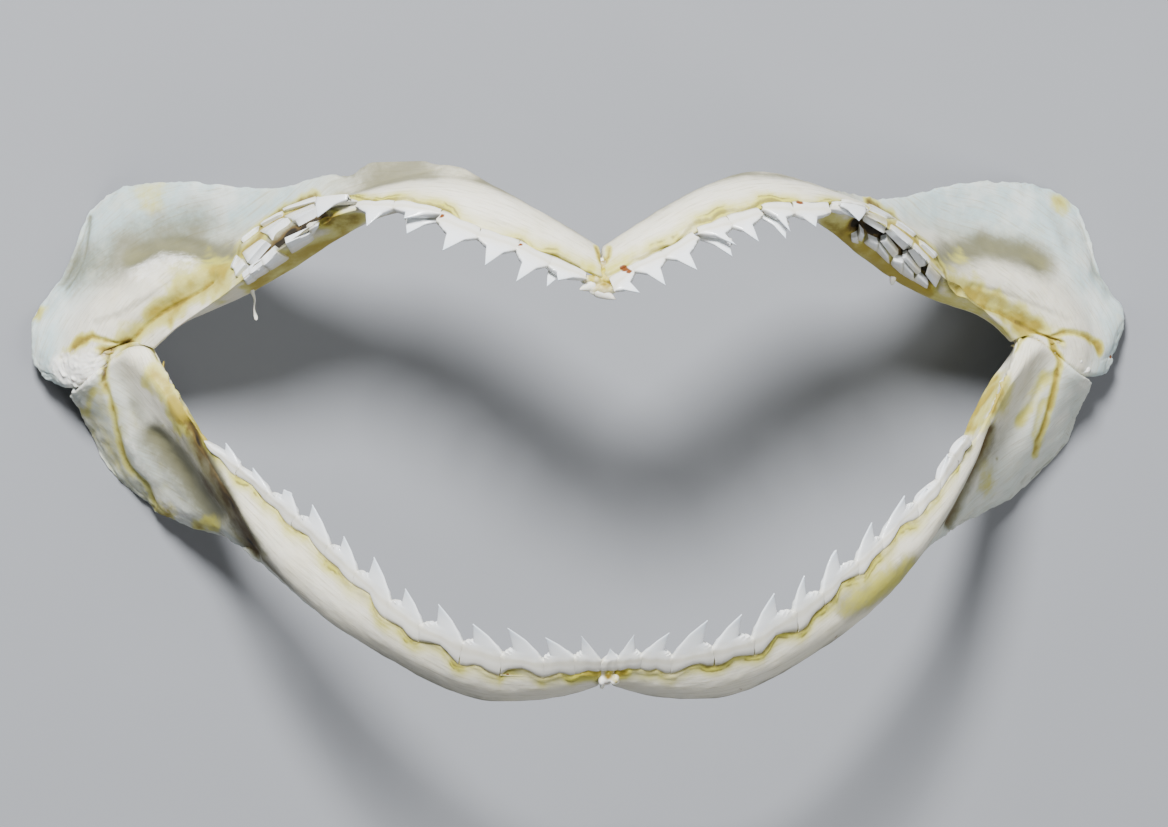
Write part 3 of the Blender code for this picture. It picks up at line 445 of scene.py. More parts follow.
    (0.5, 0.9, 0.9, 0, 0, 0, ((0.4, -28.7),)),
    (0.4, 1, 0.4, 0, 0, -0.1, ((-0.6, 21.2), (-0.35, 20.2), (-0.2, 19.6))),
    (0.4, 1, 0.4, 0, 0, -0.1, ((0.9, 21.2), (0.6, 20.2), (0.3, 19.6))),
    (0.9, 0.35, 0.1, 0, 0, 0, ((-1.8, 19.6), (-0.7, 18.6))),
    (1.2, 0.7, 0.1, 0, 0, 0, ((2.2, 19.3), (1.0, 18.6))),
))

# Specks of dried blood: where they are, seen from above, and their radius.
RED_SPECKS = (
    (27.9, -25.1, 0.15), (16.1, -30.9, 0.14), (8.1, -28.2, 0.17), (-11.8, -28.7, 0.15),
    (23.5, 26.5, 0.25), (23.2, 26.1, 0.2), (-18.5, 25.5, 0.18), (-18.9, 25.2, 0.14),
    (2.1, 18.9, 0.26), (2.5, 18.7, 0.34), (3.0, 18.4, 0.26), (-9.8, 21.7, 0.14), (65.3, 8.1, 0.22),
)

# Uneven outer edges of the plates, seen from above.
OUTLINES = {
    ("upper", "left"): (
        (-62.9, 6.3), (-63.9, 6.5), (-65.3, 6.8), (-66.3, 8.3), (-66.9, 10.0), (-67.1, 11.9),
        (-66.7, 13.8), (-65.7, 15.5), (-65.1, 15.8), (-64.3, 17.5), (-63.5, 17.8), (-62.5, 19.6),
        (-61.6, 21.8), (-60.7, 24.1), (-60.0, 26.0), (-58.4, 28.0), (-57.0, 28.9), (-56.3, 29.6),
        (-54.1, 29.9), (-51.1, 30.2), (-47.5, 30.1), (-44.0, 29.6), (-39.2, 29.1), (-36.0, 29.2),
        (-33.3, 30.1), (-30.5, 30.7), (-29.9, 30.3), (-29.4, 30.2), (-28.2, 30.5), (-27.6, 31.2),
        (-27.5, 31.6), (-25.5, 32.1), (-20.3, 31.9), (-19.6, 31.4), (-18.2, 31.3),
    ),
    ("upper", "right"): (
        (29.3, 27.9), (33.2, 27.4), (34.9, 27.1), (38.3, 27.4), (41.5, 28.2), (45.6, 29.1),
        (49.4, 29.4), (52.8, 29.4), (55.9, 29.1), (58.0, 28.7), (60.5, 27.4), (62.0, 26.0),
        (62.7, 24.2), (63.5, 22.4), (64.0, 19.3), (65.0, 17.5), (66.0, 15.6), (67.6, 13.9),
        (67.5, 12.5), (66.8, 10.6), (65.4, 7.8),
    ),
    ("lower", "left"): (
        (-61.9, 4.8), (-60.6, 1.9), (-58.9, -1.5), (-57.5, -3.9), (-56.2, -5.7), (-54.1, -7.3),
        (-52.3, -8.7), (-51.7, -9.7), (-48.8, -10.9), (-47.1, -11.7), (-45.1, -12.1),
        (-43.8, -12.6), (-41.7, -13.9),
    ),
    ("lower", "right"): (
        (62.8, 5.6), (62.5, 4.4), (61.6, 2.1), (60.9, -0.1), (60.1, -2.3), (58.4, -4.3),
        (56.6, -5.9), (54.7, -7.6), (53.4, -8.9), (50.5, -10.2), (47.9, -11.3), (45.7, -12.2),
        (44.2, -13.0),
    ),
}

# ---- camera ------------------------------------------------------------------
CAMERA_TARGET = Vector((-0.0009, 0.0018, 0.020))
CAMERA_DISTANCE = 0.9
CAMERA_LEAN = math.radians(4.5)
CAMERA_ROLL = math.radians(0.6)
CAMERA_SPAN = 0.14016      # width of the picture at the target
CAMERA_CLIP = (0.05, 10.0)
SENSOR = 36.0

# ---- light -------------------------------------------------------------------
LAMPS = (("key", (-0.15, 0.47, 0.68), 0.24), ("fill", (0.45, -0.24, 0.70), 0.50))
LAMPS_AIM = Vector((0.0, 0.0, 0.02))
SKY = (0.95, 0.97, 1.0, 1.0)


# ---- settings ----------------------------------------------------------------
def colour(name, description, default):
    return bpy.props.FloatVectorProperty(
        name=name, description=description, subtype='COLOR', size=3,
        min=0.0, max=1.0, default=default)


def length(name, description, default):
    return bpy.props.FloatProperty(
        name=name, description=description, default=default * MM,
        min=0.0, unit='LENGTH', precision=5)


class SHARKJAW_PG_cartilage(bpy.types.PropertyGroup):
    smoothing: bpy.props.IntProperty(
        name="Smoothing", description="Subdivision levels of the cartilages",
        default=4, min=1, max=4)
    lumps: length("Lumps", "Height of the soft unevenness of the surface", 0.16)
    cream: colour("Cream", "Thick, bleached cartilage", (0.76, 0.73, 0.60))
    plate: colour("Plate", "Thin plates, where the cartilage is bluish", (0.46, 0.59, 0.60))
    yellow: colour("Yellow", "Pale stain around the grooves", (0.55, 0.52, 0.07))
    ochre: colour("Ochre", "Dried tissue left in the grooves", (0.34, 0.25, 0.012))
    mustard: colour("Mustard", "Line of dried gum below the roots", (0.20, 0.17, 0.035))
    red: colour("Red", "Specks of dried blood", (0.17, 0.045, 0.001))
    # brown also paints the shade in the creases beside the lower bars
    brown: colour("Brown", "Deepest grooves", (0.085, 0.05, 0.01))
    # olive is the painted shade of hollows, creases and the bars' sides, and some grey tone
    olive: colour("Olive", "Shaded hollows of the plates", (0.12, 0.115, 0.05))


class SHARKJAW_PG_teeth(bpy.types.PropertyGroup):
    thickness: length("Thickness", "Thickness of a tooth at its root", 1.1)
    serration: length("Serration", "Depth of the saw edge", 0.035)
    enamel: colour("Enamel", "Crowns", (0.84, 0.87, 0.89))
    root: colour("Root", "Roots", (0.79, 0.78, 0.71))
    gum: colour("Gum", "Dried gum at the foot of the roots", (0.36, 0.32, 0.09))


class SHARKJAW_PG_tissue(bpy.types.PropertyGroup):
    amber: colour("Amber", "Thick dried tissue", (0.42, 0.33, 0.002))
    pale: colour("Pale", "Thin dried tissue", (0.50, 0.43, 0.01))
    # dark also paints the shade in the dips of the tissue
    dark: colour("Dark", "Creases of the tissue", (0.21, 0.14, 0.006))


class SHARKJAW_PG_stage(bpy.types.PropertyGroup):
    floor: colour("Floor", "The surface the jaw lies on", (0.24, 0.25, 0.27))
    key: bpy.props.FloatProperty(
        name="Key light", description="Power of the large soft light",
        default=20.0, min=0.0, unit='POWER')
    fill: bpy.props.FloatProperty(
        name="Fill light", description="Power of the fill light",
        default=3.4, min=0.0, unit='POWER')
    air: bpy.props.FloatProperty(
        name="Surround", description="Strength of the even light around", default=0.09, min=0.0)


# ---- shaping helpers ---------------------------------------------------------
def deselect_all():
    if bpy.context.mode != 'OBJECT':
        bpy.ops.object.mode_set(mode='OBJECT')
    bpy.ops.object.select_all(action='DESELECT')


def make_active(piece):
    deselect_all()
    piece.select_set(True)
    bpy.context.view_layer.objects.active = piece


def apply_modifier(piece, name, kind, **values):
    """Add a modifier with these values and apply it."""
    make_active(piece)
    modifier = piece.modifiers.new(name, kind)
    for key, value in values.items():
        setattr(modifier, key, value)
    bpy.ops.object.modifier_apply(modifier=modifier.name)


def read_points(piece):
    """Vertex places of a piece, mm."""
    flat = np.empty(len(piece.data.vertices) * 3)
    piece.data.vertices.foreach_get("co", flat)
    return flat.reshape(-1, 3) / MM


def write_points(piece, points):
    piece.data.vertices.foreach_set("co", (points * MM).ravel())
    piece.data.update()


def read_normals(piece):
    flat = np.empty(len(piece.data.vertices) * 3)
    piece.data.vertex_normals.foreach_get("vector", flat)
    return flat.reshape(-1, 3)


def read_values(piece, name):
    flat = np.empty(len(piece.data.vertices))
    piece.data.attributes[name].data.foreach_get("value", flat)
    return flat


def write_values(piece, name, values):
    attribute = piece.data.attributes.get(name)
    if attribute is None:
        attribute = piece.data.attributes.new(name, 'FLOAT', 'POINT')
    attribute.data.foreach_set("value", np.asarray(values, dtype=np.float32))


def write_vectors(piece, name, values):
    attribute = piece.data.attributes.new(name, 'FLOAT_VECTOR', 'POINT')
    attribute.data.foreach_set("vector", np.asarray(values, dtype=np.float32).ravel())


def face_outwards(piece, merge=0.0):
    """Turn all faces outwards, once points closer than this are merged, mm."""
    make_active(piece)
    bpy.ops.object.mode_set(mode='EDIT')
    bpy.ops.mesh.select_all(action='SELECT')
    if merge:
        bpy.ops.mesh.remove_doubles(threshold=merge * MM)
    bpy.ops.mesh.normals_make_consistent(inside=False)
    bpy.ops.object.mode_set(mode='OBJECT')


def start_ring(name, corners, radius, *layers):
    """A circle in edit mode, its corners numbered in the layer "spot", and further layers."""
    deselect_all()
    bpy.ops.mesh.primitive_circle_add(vertices=corners, radius=radius * MM)
    piece = bpy.context.object
    piece.name = name
    bpy.ops.object.mode_set(mode='EDIT')
    mesh = bmesh.from_edit_mesh(piece.data)
    for layer in ("spot",) + layers:
        mesh.verts.layers.float.new(layer)
    spot = mesh.verts.layers.float["spot"]
    for index, vert in enumerate(mesh.verts):
        vert[spot] = index
    bmesh.update_edit_mesh(piece.data)
    return piece


def copy_of(blank):
    """A copy with its own mesh."""
    piece = blank.copy()
    piece.data = blank.data.copy()
    bpy.context.scene.collection.objects.link(piece)
    return piece


def dress(piece, material):
    piece.data.materials.clear()
    piece.data.materials.append(material)


def finish_piece(piece, material, slot, *replaced):
    """Give the piece its finish, and say what it rides on and what it replaces; the slot is not
    used.
    """
    dress(piece, material)
    deselect_all()
    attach(piece, "root")
    if replaced:
        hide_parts(*replaced)


def smooth_noise(points, size, seed=0):
    """Soft noise from -1 to 1 at each point; size is that of its lumps, mm."""
    shift = Vector((seed * 7.3, seed * 3.1, seed * 5.7))
    return np.array([noise.noise(Vector(p) / size + shift) for p in points])


def unit(values):
    """The values, kept from 0 to 1."""
    return np.clip(values, 0.0, 1.0)


def falloff(distance, radius):
    """1 on a line or point, easing to 0 at the radius."""
    near = unit(1.0 - distance / radius)
    return near * near * (3.0 - 2.0 * near)


def share_along(points, start, run):
    """How far along a straight run each point lies, from 0 to 1."""
    return unit((points - start) @ run / (run @ run))


def distance_to_line(points, line):
    """Distance of each point to a polyline or a single point, mm."""
    line = [np.array(p, dtype=float) for p in line]
    if len(line) == 1:
        return np.linalg.norm(points - line[0], axis=1)
    best = np.full(len(points), FAR)
    for start, end in zip(line, line[1:]):
        run = end - start
        share = share_along(points, start, run)
        gap = np.linalg.norm(points - start - share[:, None] * run, axis=1)
        best = np.minimum(best, gap)
    return best


# ---- the halves --------------------------------------------------------------
def catmull(values, position):
    """Smooth value at a fractional place in a list of points or numbers."""
    last = len(values) - 1
    index = min(max(int(position), 0), last - 1)
    t = position - index
    before = values[max(index - 1, 0)]
    start = values[index]
    end = values[index + 1]
    after = values[min(index + 2, last)]
    return 0.5 * (2 * start + (end - before) * t
                  + (2 * before - 5 * start + 4 * end - after) * t ** 2
                  + (3 * start - before - 3 * end + after) * t ** 3)


def level(vector):
    """Unit vector of the part of a vector that lies in the floor plane."""
    return Vector((vector.x, vector.y, 0.0)).normalized()


def tweaked(jaw, side):
    """Stations of one half with that side's own small differences."""
    result = list(STATIONS[jaw])
    for tweak_jaw, tweak_side, indexes, field, change in SIDE_TWEAKS:
        if (tweak_jaw, tweak_side) != (jaw, side):
            continue
        for index in indexes:
            value = getattr(result[index], field)
            if isinstance(value, tuple):
                value = tuple(a + b for a, b in zip(value, change))
            else:
                value += change
            result[index] = result[index]._replace(**{field: value})
    return result


class Half:
    """One half of the jaw, drawn on the +X side and read at any place along it."""

    def __init__(self, jaw, side):
        self.jaw = jaw
        self.side = side
        self.name = jaw + "_" + side
        stations = tweaked(jaw, side)
        self.last = len(stations) - 1
        self.lines = {}
        for field in Station._fields:
            column = [getattr(station, field) for station in stations]
            if isinstance(column[0], tuple):
                column = [Vector(point) for point in column]
            self.lines[field] = column

    def at(self, field, place):
        return catmull(self.lines[field], place)

    def along(self, place):
        step = 0.05
        low = self.at("tooth", max(place - step, 0.0))
        high = self.at("tooth", min(place + step, self.last))
        return (high - low).normalized()

    def inward(self, place):
        direction = self.along(place)
        side = level(Vector((direction.y, -direction.x, 0.0)))
        to_middle = GAPE_MIDDLE - self.at("tooth", place)
        return side if side.dot(to_middle) > 0.0 else -side

    def section(self, place):
        """Points of one section, from the tooth edge round to its back."""
        tooth, crest, edge = (self.at(f, place) for f in ("tooth", "crest", "edge"))
        gum, bulge, drop, reach, swell, heel_in, heel_depth = (
            self.at(f, place) for f in Station._fields[3:])
        inward = self.inward(place)
        down = -UP
        face = crest - tooth
        normal = face.cross(self.along(place)).normalized()
        if normal.z < 0.0:
            normal = -normal
        outward = level(edge - crest)
        spread = (edge - crest).length - PLATE_STARTS
        plate = min(1.0, max(0.0, spread / (PLATE_FULL - PLATE_STARTS)))
        fossa = crest + outward * reach + down * drop
        if plate == 0.0:
            fossa = crest.lerp(edge, FOSSA_SHARE) - inward * FOSSA_INWARD
        rim = fossa.lerp(edge, 0.5) - down * swell
        front = [tooth, tooth + face * GUM_AT + normal * gum,
                 tooth + face * BULGE_AT + normal * bulge, crest, fossa, rim, edge]
        heel = tooth + inward * heel_in + down * heel_depth
        extra = PLATE_EXTRA * plate
        crest_back = crest + inward * (CREST_BACK_IN + extra)
        crest_back += down * (BAR_DEPTH + extra * drop)
        edge_back = edge + inward * EDGE_BACK_IN * (1.0 - plate) + down * EDGE_THICKNESS
        bar_middle = edge_back.lerp(crest_back, BACK_SHARE)
        fossa_back = bar_middle.lerp(fossa + down * PLATE_THICKNESS, plate)
        back = [tooth + down * LINGUAL_DROP + inward * min(0.0, heel_in) * LINGUAL_SHARE,
                heel, heel.lerp(crest_back, BACK_SHARE) + down * HEEL_SAG,
                crest_back, fossa_back, fossa_back.lerp(edge_back, 0.5), edge_back]
        return front + back[::-1]

    def face_point(self, place, reach):
        """A point above (+) or down (-) the bar's face from its edge, and its normal."""
        if place < 0.0:
            point, normal = self.face_point(-place, reach)
            return Vector((-point.x, point.y, point.z)), Vector((-normal.x, normal.y, normal.z))
        place = min(place, self.last)
        edge = self.at("tooth", place)
        along = self.along(place)
        crown = self.inward(place) * CROWN_REACH + UP * CROWN_RISE
        if reach >= 0.0:
            point = edge + crown * reach
            run = crown
        else:
            front = self.section(place)[:5]
            left = -reach
            for start, end in zip(front, front[1:]):
                size = (end - start).length
                if left <= size or end is front[-1]:
                    point = start + (end - start) * (left / size)
                    run = start - end
                    break
                left -= size
        normal = run.cross(along).normalized()
        return point, normal if normal.z > 0.0 else -normal

    def gum_depth(self, place):
        line = GUM_LINES[(self.jaw, self.side)]
        return float(np.interp(place, [p for p, d in line], [d for p, d in line]))

    def mirror(self, point):
        """The point, moved to this half's own side."""
        return Vector((-point.x, point.y, point.z)) if self.side == "left" else point.copy()


def ring_places(last):
    even = [last * i / (RING_STEPS - 1) for i in range(RING_STEPS)]
    return [0.0, END_RING] + even[1:-1] + [last - END_RING, last]


def loft_cartilage(half, smoothing):
    """Extrude a ring along the half, section by section, then smooth it."""
    count = 2 * FRONT_POINTS
    piece = start_ring(half.name + "_cartilage", count, 2.0, "place", "across", "back")
    start_x = SYMPHYSIS_START[half.jaw]
    joint_shift = -JOINT_OVERLAP / 2 if half.jaw == "upper" else JOINT_OVERLAP / 2
    for place in ring_places(half.last):
        if place > 0.0:
            bpy.ops.mesh.extrude_region_move()
        points = half.section(place)
        if place <= END_RING:
            points = [Vector((start_x + SYMPHYSIS_SLOPE * place, p.y, p.z)) for p in points]
        if place == half.last:
            points = [p + Vector((0.0, joint_shift, 0.0)) for p in points]
        mesh = bmesh.from_edit_mesh(piece.data)
        layers = mesh.verts.layers.float
        for vert in mesh.verts:
            if vert.select:
                index = int(round(vert[layers["spot"]]))
                vert.co = half.mirror(points[index]) * MM
                vert[layers["place"]] = place
                vert[layers["across"]] = min(index, count - 1 - index)
                vert[layers["back"]] = 0.0 if index < FRONT_POINTS else 1.0
        bmesh.update_edit_mesh(piece.data)
    close_ends(piece, count, (0.0, half.last))
    face_outwards(piece, merge=0.002)
    apply_modifier(piece, "smooth", 'SUBSURF', levels=smoothing, render_levels=smoothing)
    return piece


def close_ends(piece, count, places):
    """Fill both end rings with a strip of quads, front point to back point."""
    for place in places:
        for index in range(FRONT_POINTS - 1):
            bpy.ops.mesh.select_all(action='DESELECT')
            mesh = bmesh.from_edit_mesh(piece.data)
            layers = mesh.verts.layers.float
            wanted = {index, index + 1, count - 2 - index, count - 1 - index}
            for vert in mesh.verts:
                vert.select = (vert[layers["place"]] == place
                               and int(round(vert[layers["spot"]])) in wanted)
            mesh.select_flush(True)
            bmesh.update_edit_mesh(piece.data)
            bpy.ops.mesh.edge_face_add()


# ---- surface of the cartilages -----------------------------------------------
LUMP_SIZES = ((4.5, 0), (1.4, 9), (0.55, 17))      # size, mm, and what is added to the seed
ROW_ENDS = {"upper": 5.3, "lower": 8.1}            # place where a row of teeth ends
OUTLINE_REACH = 1.8        # farther from the traced outline than this stays as it is
OUTLINE_STEP = 0.04
RAGGEDNESS = 0.16          # how far the outer edges are ragged
WALL_SHADE_BROWN = 0.56          # how brown the painted shade on the side of a lower bar is, partly brown stain
NO_GUM = 9.0               # depth below the gum where there is no row


def face_depth(half, place, across):
    """How far down the bar's face each vertex lies, from its place and across values."""
    steps = np.linspace(0.0, half.last, FINE_STEPS)
    lengths = []
    for step in steps:
        front = half.section(step)[:FRONT_POINTS]
        runs = [(b - a).length for a, b in zip(front, front[1:])]
        lengths.append(np.concatenate([[0.0], np.cumsum(runs)]))
    lengths = np.array(lengths)
    columns = np.array([np.interp(place, steps, lengths[:, i]) for i in range(FRONT_POINTS)])
    low = np.clip(across.astype(int), 0, FRONT_POINTS - 2)
    share = across - low
    rows = np.arange(len(place))
    return columns[low, rows] * (1.0 - share) + columns[low + 1, rows] * share


def hollows(piece, points, normals):
    """How far each vertex lies below the smoothed surface around it, mm; the finish paints shade
    into these hollows.
    """
    ends = np.empty(len(piece.data.edges) * 2, dtype=np.int32)
    piece.data.edges.foreach_get("vertices", ends)
    a, b = ends.reshape(-1, 2).T
    size = len(points)
    count = np.bincount(ends, minlength=size)[:, None]
    soft = points.copy()
    for step in range(HOLLOW_ROUNDS):
        total = np.stack([np.bincount(a, soft[b, axis], size) + np.bincount(b, soft[a, axis], size)
                          for axis in range(3)], axis=1)
        soft = 0.4 * soft + 0.6 * total / count
    return ((soft - points) * normals).sum(axis=1)


def dried_specks(points, normals):
    """How much dried blood there is at each vertex that faces up."""
    red = np.zeros(len(points))
    for x, y, radius in RED_SPECKS:
        gap = np.hypot(points[:, 0] - x, points[:, 1] - y)
        red = np.maximum(red, falloff(gap, radius * 1.8) * (normals[:, 2] > 0.0))
    return red


def arch_joint(half, points, place):
    """Round both ends at the jaw joint, where the lower condyle stands up into the upper."""
    height = JOINT_ARCH * falloff(np.abs(np.abs(points[:, 0]) - JOINT_MIDDLE), JOINT_WIDTH)
    return height * falloff(half.last - place, 1.6)


def creep_to_roots(half, place, depth):
    """How far each vertex by the teeth moves up the crowns, where the gum lies above the edge."""
    steps = np.linspace(0.0, half.last, FINE_STEPS)
    crowns = np.array([half.mirror(half.inward(step) * CROWN_REACH + UP * CROWN_RISE)
                       for step in steps])
    line = np.array([half.gum_depth(step) for step in steps])
    reach = np.maximum(0.0, -line) + 0.2 * (line < 0.3)
    moved = crowns * reach[:, None]
    near = falloff(depth, 1.4)[:, None]
    return np.stack([np.interp(place, steps, moved[:, axis]) for axis in range(3)], axis=1) * near


def follow_outline(half, points, place, across):
    """Move the outer edge sideways to the traced, uneven outline of the plate."""
    line = [np.array(p) for p in OUTLINES[(half.jaw, half.side)]]
    rim = np.flatnonzero(across > FRONT_POINTS - 1.1)
    level_points = points[rim, :2]
    best = np.full(len(rim), FAR)
    shift = np.zeros((len(rim), 2))
    for start, end in zip(line, line[1:]):
        run = end - start
        share = share_along(level_points, start, run)
        gap = start + share[:, None] * run - level_points
        far = np.linalg.norm(gap, axis=1)
        nearer = far < best
        best[nearer] = far[nearer]
        shift[nearer] = gap[nearer]
    shift[best > OUTLINE_REACH] = 0.0
    steps = np.arange(0.0, half.last + OUTLINE_STEP / 2, OUTLINE_STEP)
    bins = np.digitize(place[rim], steps)
    counts = np.bincount(bins, minlength=len(steps) + 1)
    known = counts > 0
    weight = falloff(np.abs(across - (FRONT_POINTS - 1)), 1.5)
    for axis in (0, 1):
        sums = np.bincount(bins, shift[:, axis], len(steps) + 1)
        means = np.interp(np.arange(len(sums)), np.flatnonzero(known), sums[known] / counts[known])
        means = np.convolve(np.pad(means, 2, 'edge'), np.ones(5) / 5.0, 'valid')
        middles = steps - OUTLINE_STEP / 2
        points[:, axis] += np.interp(place, middles, means[:len(steps)]) * weight
    return points


def draw_strokes(points, up, uneven):
    """The strokes at each vertex that faces up: four strengths and a lift, wobbled by uneven."""
    marks = {name: np.zeros(len(points)) for name in ("stain", "brown", "shade", "chalk")}
    lift = np.zeros(len(points))
    flat_points = points[:, :2]
    facing = unit(up * 8.0)
    for stroke in STROKES:
        line = np.array(stroke.line)
        margin = 2.2 * stroke.width
        low, high = line.min(axis=0) - margin, line.max(axis=0) + margin
        inside = ((flat_points > low) & (flat_points < high)).all(axis=1)
        near = np.flatnonzero(inside & (up > 0.0))
        if len(near) == 0:
            continue
        distance = distance_to_line(flat_points[near], stroke.line)
        wide = falloff(distance, stroke.width * 2.0) * facing[near]
        core = falloff(distance, stroke.width) * facing[near]
        frayed = distance * (1.0 + 0.6 * uneven[near])
        broken = facing[near] * (1.0 - 0.5 * uneven[near])
        shapes = {"stain": falloff(frayed, stroke.width * 2.0) * broken,
                  "brown": falloff(frayed, stroke.width) * broken,
                  "shade": wide, "chalk": wide}
        for name, shape in shapes.items():
            marks[name][near] = np.maximum(marks[name][near], getattr(stroke, name) * shape)
        lift[near] += stroke.lift * (core if stroke.lift < 0.0 else wide)
    return marks, lift


def surface_cartilage(half, piece, settings):
    """Soft relief and ragged edges, then the stains, lines and painted shade as values on the
    vertices.
    """
    points, normals = read_points(piece), read_normals(piece)
    place, across, back = (read_values(piece, name) for name in ("place", "across", "back"))
    depth = face_depth(half, place, across)
    gum = depth - np.interp(place, *zip(*GUM_LINES[(half.jaw, half.side)]))
    seed = 1 + 2 * (half.jaw == "upper") + (half.side == "left")
    broad, small, tiny = (smooth_noise(points, size, seed + more) for size, more in LUMP_SIZES)
    in_row = unit((ROW_ENDS[half.jaw] - place) / 0.3) * (1.0 - unit(back * 1.5))
    marks, lift = draw_strokes(points, normals[:, 2], 0.6 * small + 0.6 * broad)
    lip = falloff(np.abs(gum - 0.3), 0.5) * in_row
    band = falloff(np.abs(gum + 0.4), 0.45) * in_row
    crumbs = marks["chalk"] * (0.5 + 0.5 * np.abs(tiny)) * 0.5
    lumps = settings.lumps / MM
    height = (lumps * (0.6 * broad + 0.35 * small + 0.1 * tiny) + lift * (1.0 + 0.3 * small)
              + lip * (0.09 + 0.07 * small + 0.04 * tiny) - 0.1 * band
              + crumbs * np.abs(small + tiny))
    points = points + normals * height[:, None]
    points = points + creep_to_roots(half, place, depth) * in_row[:, None]
    points = follow_outline(half, points, place, across)
    points[:, 1] += arch_joint(half, points, place)
    if half.jaw == "lower":
        frayed = falloff(np.abs(place - 9.3), 1.6) * falloff(across, 1.3) * (small + 1.3 * tiny)
        points[:, :2] += normals[:, :2] * (0.25 * frayed)[:, None]
    ragged = falloff(np.abs(across - (FRONT_POINTS - 1)), 0.9) * unit(place - 4.0)
    points[:, :2] += normals[:, :2] * (ragged * RAGGEDNESS * (small + tiny))[:, None]
    low, high = (np.array(corner) / MM for corner in CAD_BOX)
    points = np.clip(points, low, high)
    points[:, 2] = np.maximum(points[:, 2], EDGE_LIFT * (1.0 - back))
    write_points(piece, points)
    write_values(piece, "gum_line", np.where(in_row > 0.02, gum, NO_GUM))
    write_vectors(piece, "grain", np.stack([place * 5.5, depth, back * 9.0], axis=1))
    # painted shade: how deep each vertex lies in a hollow
    write_values(piece, "hollow", unit(hollows(piece, points, read_normals(piece)) * 3.2))
    write_values(piece, "red", dried_specks(points, normals))
    bar = unit((6.0 - place) / 1.5)
    # painted shade: the bars darken towards their outer, lower side, which turns from the light
    under_shade = unit((across - 1.9) / 2.0) ** 1.6 * bar * 0.95
    marks["shade"] = np.maximum(marks["shade"], under_shade * (0.8 + 0.5 * broad))
    thin = unit((across - 3.4) / 1.4) * (1.0 - bar)
    if half.jaw == "lower":
        thin = thin * 0.5
        # painted shade in the crease beside each lower bar, with some brown stain
        wall_shade = falloff(np.abs(across - 3.6), 1.1) * unit((place - 5.5) / 1.2)
        wall_shade = wall_shade * unit((9.8 - place) / 1.6) * (0.9 + 0.4 * broad)
        marks["shade"] = np.maximum(marks["shade"], wall_shade)
        marks["brown"] = np.maximum(marks["brown"], WALL_SHADE_BROWN * wall_shade * wall_shade)
    marks["thin"] = thin + 0.3 * broad * thin
    for name, values in marks.items():
        write_values(piece, name, unit(values))


# ---- teeth -------------------------------------------------------------------
AROUND = 24                # corners of a tooth's section
ROOT_RINGS = (1.0, 0.94, 0.84, 0.7, 0.5, 0.3, 0.12)
CROWN_RINGS = 30
ROOT_PROUD = 0.34          # how far a root's front stands out of the bar
ROOT_SUNK = 0.9            # and how deep its back lies
ROOT_LOBES = 0.09          # how far the two lobes of a root swell
HEEL_BUMP = 0.2            # how far the small points of a heel stand up
HIDDEN_BASE = 0.3          # share of a second-row crown that the front row hides
ROOT_OVERLAP = 0.165       # share of the width that a root reaches into its neighbours
ROOT_REACH = {"upper": (0.5, 0.25), "lower": (0.9, 0.3)}   # share of the gum's depth, and more
SECOND_ROW_BACK = 1.5      # how far the second row stands behind the first
SECOND_ROW_SINK = 0.6      # and how much deeper its crowns begin
ROW_TURNS = 4.4            # place after which the second row shows in front
CHIP = 0.14                # how uneven a broken tip is

# Edges of a crown. The first column is the share of its height. The second is, for
# the mesial edge, the share of the way from the tooth's end to the tip, and for the
# distal heel the place along the tooth.
UPPER_MESIAL = ((0.0, 0.0), (0.08, 0.15), (0.25, 0.45), (0.62, 0.72), (1.0, 1.0))
LOWER_MESIAL = ((0.0, 0.0), (0.3, 0.2), (0.63, 0.49), (0.86, 0.79), (1.0, 1.0))
UPPER_HEEL = (
    (0.0, 0.5), (0.04, 0.46), (0.08, 0.45), (0.12, 0.38), (0.16, 0.36),
    (0.2, 0.28), (0.25, 0.23))
LOWER_HEEL = (
    (0.0, 0.5), (0.04, 0.47), (0.07, 0.46), (0.11, 0.4), (0.14, 0.385),
    (0.18, 0.32), (0.22, 0.28))


def tooth_blank():
    """A plain tooth, root to tip, whose copies are then shaped to their places."""
    blank = start_ring("tooth_blank", AROUND, 0.5, "ring")
    bpy.ops.mesh.edge_face_add()
    for ring in range(1, len(ROOT_RINGS) + CROWN_RINGS + 1):
        bpy.ops.mesh.extrude_region_move(TRANSFORM_OT_translate={"value": (0.0, 0.0, 0.2 * MM)})
        mesh = bmesh.from_edit_mesh(blank.data)
        layer = mesh.verts.layers.float["ring"]
        for vert in mesh.verts:
            if vert.select:
                vert[layer] = ring
        bmesh.update_edit_mesh(blank.data)
    face_outwards(blank)
    return blank


def read_table(table, value):
    """Value of a two-column table at a share of the crown's height."""
    return float(np.interp(value, [row[0] for row in table], [row[1] for row in table]))


def crown_limits(upper, tip, share, heel_scale, curve, bare):
    """A crown's mesial and distal limits at a share of its height; a bare one has no heel."""
    curved = read_table(UPPER_MESIAL if upper else LOWER_MESIAL, share)
    mesial = -0.5 + (tip + 0.5) * (share + (curved - share) * curve)
    if bare:
        return mesial, max(0.5 + (tip - 0.5) * share ** 1.3, mesial + 0.012)
    heel = UPPER_HEEL if upper else LOWER_HEEL
    notch_height, notch = heel[-1]
    notch_height *= heel_scale
    gap = -0.12 if tip >= 0.4 else 0.14 if upper else -0.06
    notch = min(notch, tip + gap)
    if share < notch_height:
        distal = read_table(heel, share / heel_scale)
        distal = 0.5 - (0.5 - distal) * (0.5 - notch) / (0.5 - heel[-1][1])
    else:
        above = (share - notch_height) / (1.0 - notch_height)
        distal = notch + (tip - notch) * above ** 1.15
    return mesial, max(distal, mesial + 0.03 * (1.0 - share) + 0.012)


